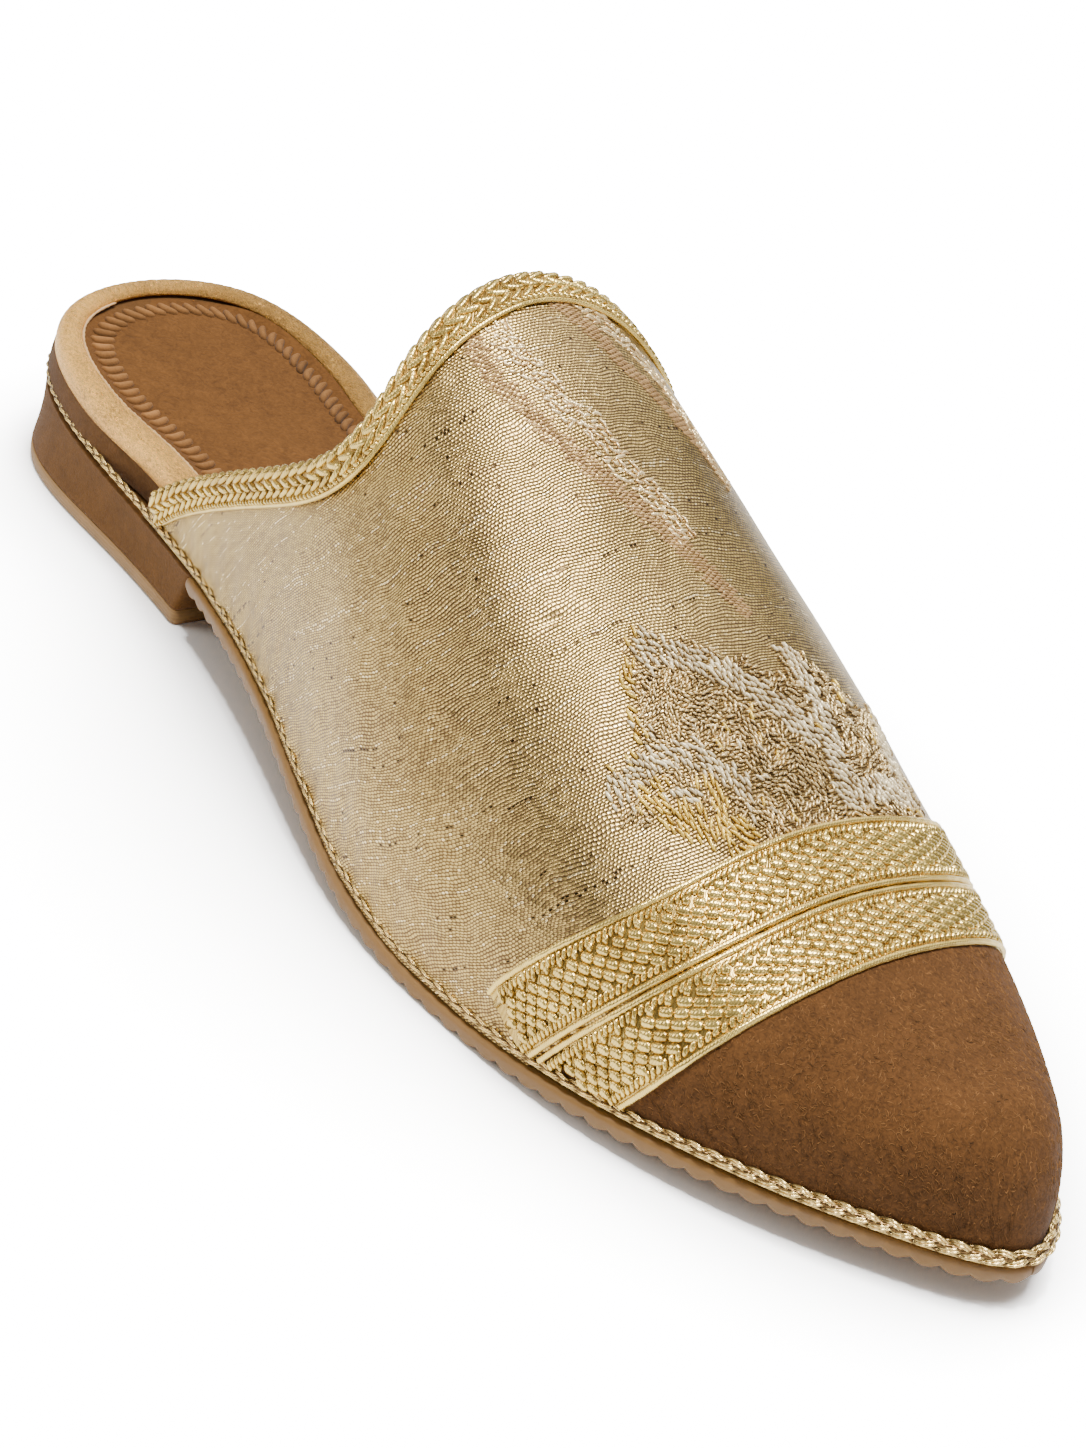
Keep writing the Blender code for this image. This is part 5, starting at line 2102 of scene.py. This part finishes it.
class SlipperSizes(bpy.types.PropertyGroup):
    """Sizes of weave, stitches and braids."""

    weft_pitch: size_property("Weft pitch", "Spacing of the brocade's rows", 0.00047, 2e-4, 2e-3)
    weft_bead: size_property("Weft bead", "Length of a bead of weft", 0.00072, 2e-4, 3e-3)
    sparks: number_property("Sparks", "Share of bright metal beads in the weft", 0.10, 0.0, 1.0)
    slubs: number_property("Slubs", "Share of dark slubs in the weft", 0.035, 0.0, 1.0)
    stitch_size: number_property("Stitch size", "Size of the motif's stitches, 1 as designed",
                                 1.0, 0.6, 2.0)
    float_length: size_property("Float length", "Length of the bands' floats", 0.00235, 1e-3, 6e-3)
    float_rows: size_property("Float rows", "Spacing of the bands' rows", 0.00130, 5e-4, 4e-3)
    plait_period: size_property("Plait period", "Length over which the rand's plait repeats",
                                PLAIT_PERIOD, 4e-3, 2e-2)
    ridge_pitch: size_property("Ridge pitch", "Spacing of the sock's embossed ridges",
                               0.0026, 1e-3, 6e-3)
    rim_padding: number_property("Rim padding", "How unevenly the padded rim swells",
                                 1.0, 0.0, 3.0)


class SlipperColours(bpy.types.PropertyGroup):
    """Colours of cloth, threads, leathers and gum."""

    # Each shade colour is painted shade, mixed in where threads dip, meet the cloth or lie between
    # rows.
    ground: colour_property("Ground", "Light weft of the brocade", (216, 184, 111))
    ground_deep: colour_property("Ground shade", "Shade between the rows", (92, 69, 45))
    spark: colour_property("Spark", "Bright metal floats", (255, 229, 172))
    slub: colour_property("Slub", "Dark slubs in the weft", (48, 36, 18))
    silver: colour_property("Silver", "Silver stitches", (255, 237, 191))
    silver_deep: colour_property("Silver shade", "Shade of silver stitches", (134, 108, 69))
    motif_gold: colour_property("Motif gold", "Yellow stitches", (255, 218, 101))
    motif_gold_deep: colour_property("Motif gold shade", "Shade of yellow stitches",
                                     (139, 101, 33))
    brown: colour_property("Brown", "Brown stitches", (250, 218, 153))
    brown_deep: colour_property("Brown shade", "Shade of brown stitches", (93, 68, 36))
    rose: colour_property("Rose", "Rose-brown trails", (188, 151, 101))
    rose_shade: colour_property("Rose shade", "Shade of the trails", (139, 105, 64))
    gold: colour_property("Braid gold", "Braids and binding", (247, 215, 121))
    gold_deep: colour_property("Braid shade", "Shade in the braids", (145, 112, 53))
    rose_gold: colour_property("Cord", "Plaited rand cord", (249, 215, 137))
    rose_deep: colour_property("Cord shade", "Shade in the cord", (106, 80, 45))
    cap: colour_property("Cap", "Suede toe cap", (81, 52, 25))
    cap_nap: colour_property("Cap nap", "Loose fibres of the cap", (108, 74, 41))
    heel: colour_property("Heel", "Suede of the heel", (93, 61, 25))
    footbed: colour_property("Footbed", "Suede round the footbed", (85, 56, 26))
    sock: colour_property("Sock", "Suede sock", (89, 57, 25))
    ridge: colour_property("Ridges", "Embossed ridges of the sock", (125, 86, 48))
    rim: colour_property("Rim", "Metallic leather rim", (227, 172, 90))
    welt: colour_property("Welt", "Fine cord inside the rim", (206, 173, 129))
    lift: colour_property("Top lift", "Leather lift of the heel", (137, 103, 59))
    gum: colour_property("Gum", "Gum outsole", (122, 88, 42))
    lining: colour_property("Lining", "Leather lining", (198, 172, 134))


class SlipperStage(bpy.types.PropertyGroup):
    """Light and floor."""

    daylight: number_property("Daylight", "Strength of the even light", 0.18, 0.0, 10.0)
    lamps: number_property("Lamps", "Strength of the soft lamps", 1.0, 0.0, 20.0)
    glow: number_property("Floor glow", "How many times brighter the floor is seen",
                          8.8, 1.0, 40.0)
    sky: colour_property("Sky", "Colour of the even light", (255, 255, 255))
    floor: colour_property("Floor", "Colour of the floor", (250, 250, 250))


class SLIPPER_OT_heel(bpy.types.Operator):
    """Suede heel block and its leather top lift"""

    bl_idname = "slipper.heel"
    bl_label = "Heel"

    def execute(self, context):
        make_heel_cover(context.scene.slipper_colours)
        make_top_lift(context.scene.slipper_colours)
        return {"FINISHED"}


class SLIPPER_OT_sole(bpy.types.Operator):
    """Scalloped gum outsole"""

    bl_idname = "slipper.sole"
    bl_label = "Outsole"

    def execute(self, context):
        make_gum_sole(context.scene.slipper_colours)
        return {"FINISHED"}


class SLIPPER_OT_cord(bpy.types.Operator):
    """Plaited rand cord round the slipper"""

    bl_idname = "slipper.cord"
    bl_label = "Rand cord"

    def execute(self, context):
        make_plaited_cord(context.scene.slipper_sizes, context.scene.slipper_colours)
        return {"FINISHED"}


class SLIPPER_OT_footbed(bpy.types.Operator):
    """Wrapped footbed, padded rim and sock"""

    bl_idname = "slipper.footbed"
    bl_label = "Footbed"

    def execute(self, context):
        sizes = context.scene.slipper_sizes
        colours = context.scene.slipper_colours
        make_footbed_wrap(colours)
        make_padded_rim(sizes, colours)
        make_welt(colours)
        make_sock(colours)
        make_ridges(sizes, colours)
        return {"FINISHED"}


class SLIPPER_OT_vamp(bpy.types.Operator):
    """Brocade vamp and its lining"""

    bl_idname = "slipper.vamp"
    bl_label = "Vamp"

    def execute(self, context):
        make_vamp(context.scene.slipper_sizes, context.scene.slipper_colours)
        make_lining(context.scene.slipper_colours)
        return {"FINISHED"}


class SLIPPER_OT_motif(bpy.types.Operator):
    """Brocaded motif and trails on the vamp"""

    bl_idname = "slipper.motif"
    bl_label = "Motif"

    def execute(self, context):
        make_motif(context.scene.slipper_sizes, context.scene.slipper_colours)
        return {"FINISHED"}


class SLIPPER_OT_cap(bpy.types.Operator):
    """Suede toe cap with its nap"""

    bl_idname = "slipper.cap"
    bl_label = "Toe cap"

    def execute(self, context):
        make_toe_cap(context.scene.slipper_colours)
        make_nap(context.scene.slipper_colours)
        return {"FINISHED"}


class SLIPPER_OT_braids(bpy.types.Operator):
    """Toe bands and collar binding in gold braid"""

    bl_idname = "slipper.braids"
    bl_label = "Braids"

    def execute(self, context):
        make_toe_bands(context.scene.slipper_sizes, context.scene.slipper_colours)
        make_binding(context.scene.slipper_colours)
        return {"FINISHED"}


class SLIPPER_OT_stage(bpy.types.Operator):
    """Floor, lights and camera"""

    bl_idname = "slipper.stage"
    bl_label = "Stage"

    def execute(self, context):
        make_stage(context.scene.slipper_stage)
        return {"FINISHED"}


OPERATORS = (
    SLIPPER_OT_heel,
    SLIPPER_OT_sole,
    SLIPPER_OT_cord,
    SLIPPER_OT_footbed,
    SLIPPER_OT_vamp,
    SLIPPER_OT_motif,
    SLIPPER_OT_cap,
    SLIPPER_OT_braids,
    SLIPPER_OT_stage,
)


class SLIPPER_PT_panel(bpy.types.Panel):
    """Sizes, colours and pieces of the slipper"""

    bl_idname = "SLIPPER_PT_panel"
    bl_label = "Babouche slipper"
    bl_space_type = "VIEW_3D"
    bl_region_type = "UI"
    bl_category = "Slipper"

    def draw(self, context):
        layout = self.layout
        for name in ("slipper_sizes", "slipper_colours", "slipper_stage"):
            group = getattr(context.scene, name)
            box = layout.box()
            for key in group.__annotations__:
                box.prop(group, key)
        for operator in OPERATORS:
            layout.operator(operator.bl_idname)


GROUPS = {
    "slipper_sizes": SlipperSizes,
    "slipper_colours": SlipperColours,
    "slipper_stage": SlipperStage,
}


def register():
    """Registers the groups, operators and panel."""
    for group in GROUPS.values():
        bpy.utils.register_class(group)
    for name, group in GROUPS.items():
        setattr(bpy.types.Scene, name, bpy.props.PointerProperty(type=group))
    for item in (*OPERATORS, SLIPPER_PT_panel):
        bpy.utils.register_class(item)


def unregister():
    """Removes them again."""
    for item in (SLIPPER_PT_panel, *reversed(OPERATORS)):
        bpy.utils.unregister_class(item)
    for name, group in reversed(GROUPS.items()):
        delattr(bpy.types.Scene, name)
        bpy.utils.unregister_class(group)


def main():
    """Makes every piece and the stage."""
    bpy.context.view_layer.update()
    register()
    for operator in OPERATORS:
        family, name = operator.bl_idname.split(".")
        getattr(getattr(bpy.ops, family), name)()


if __name__ == "__main__":
    main()
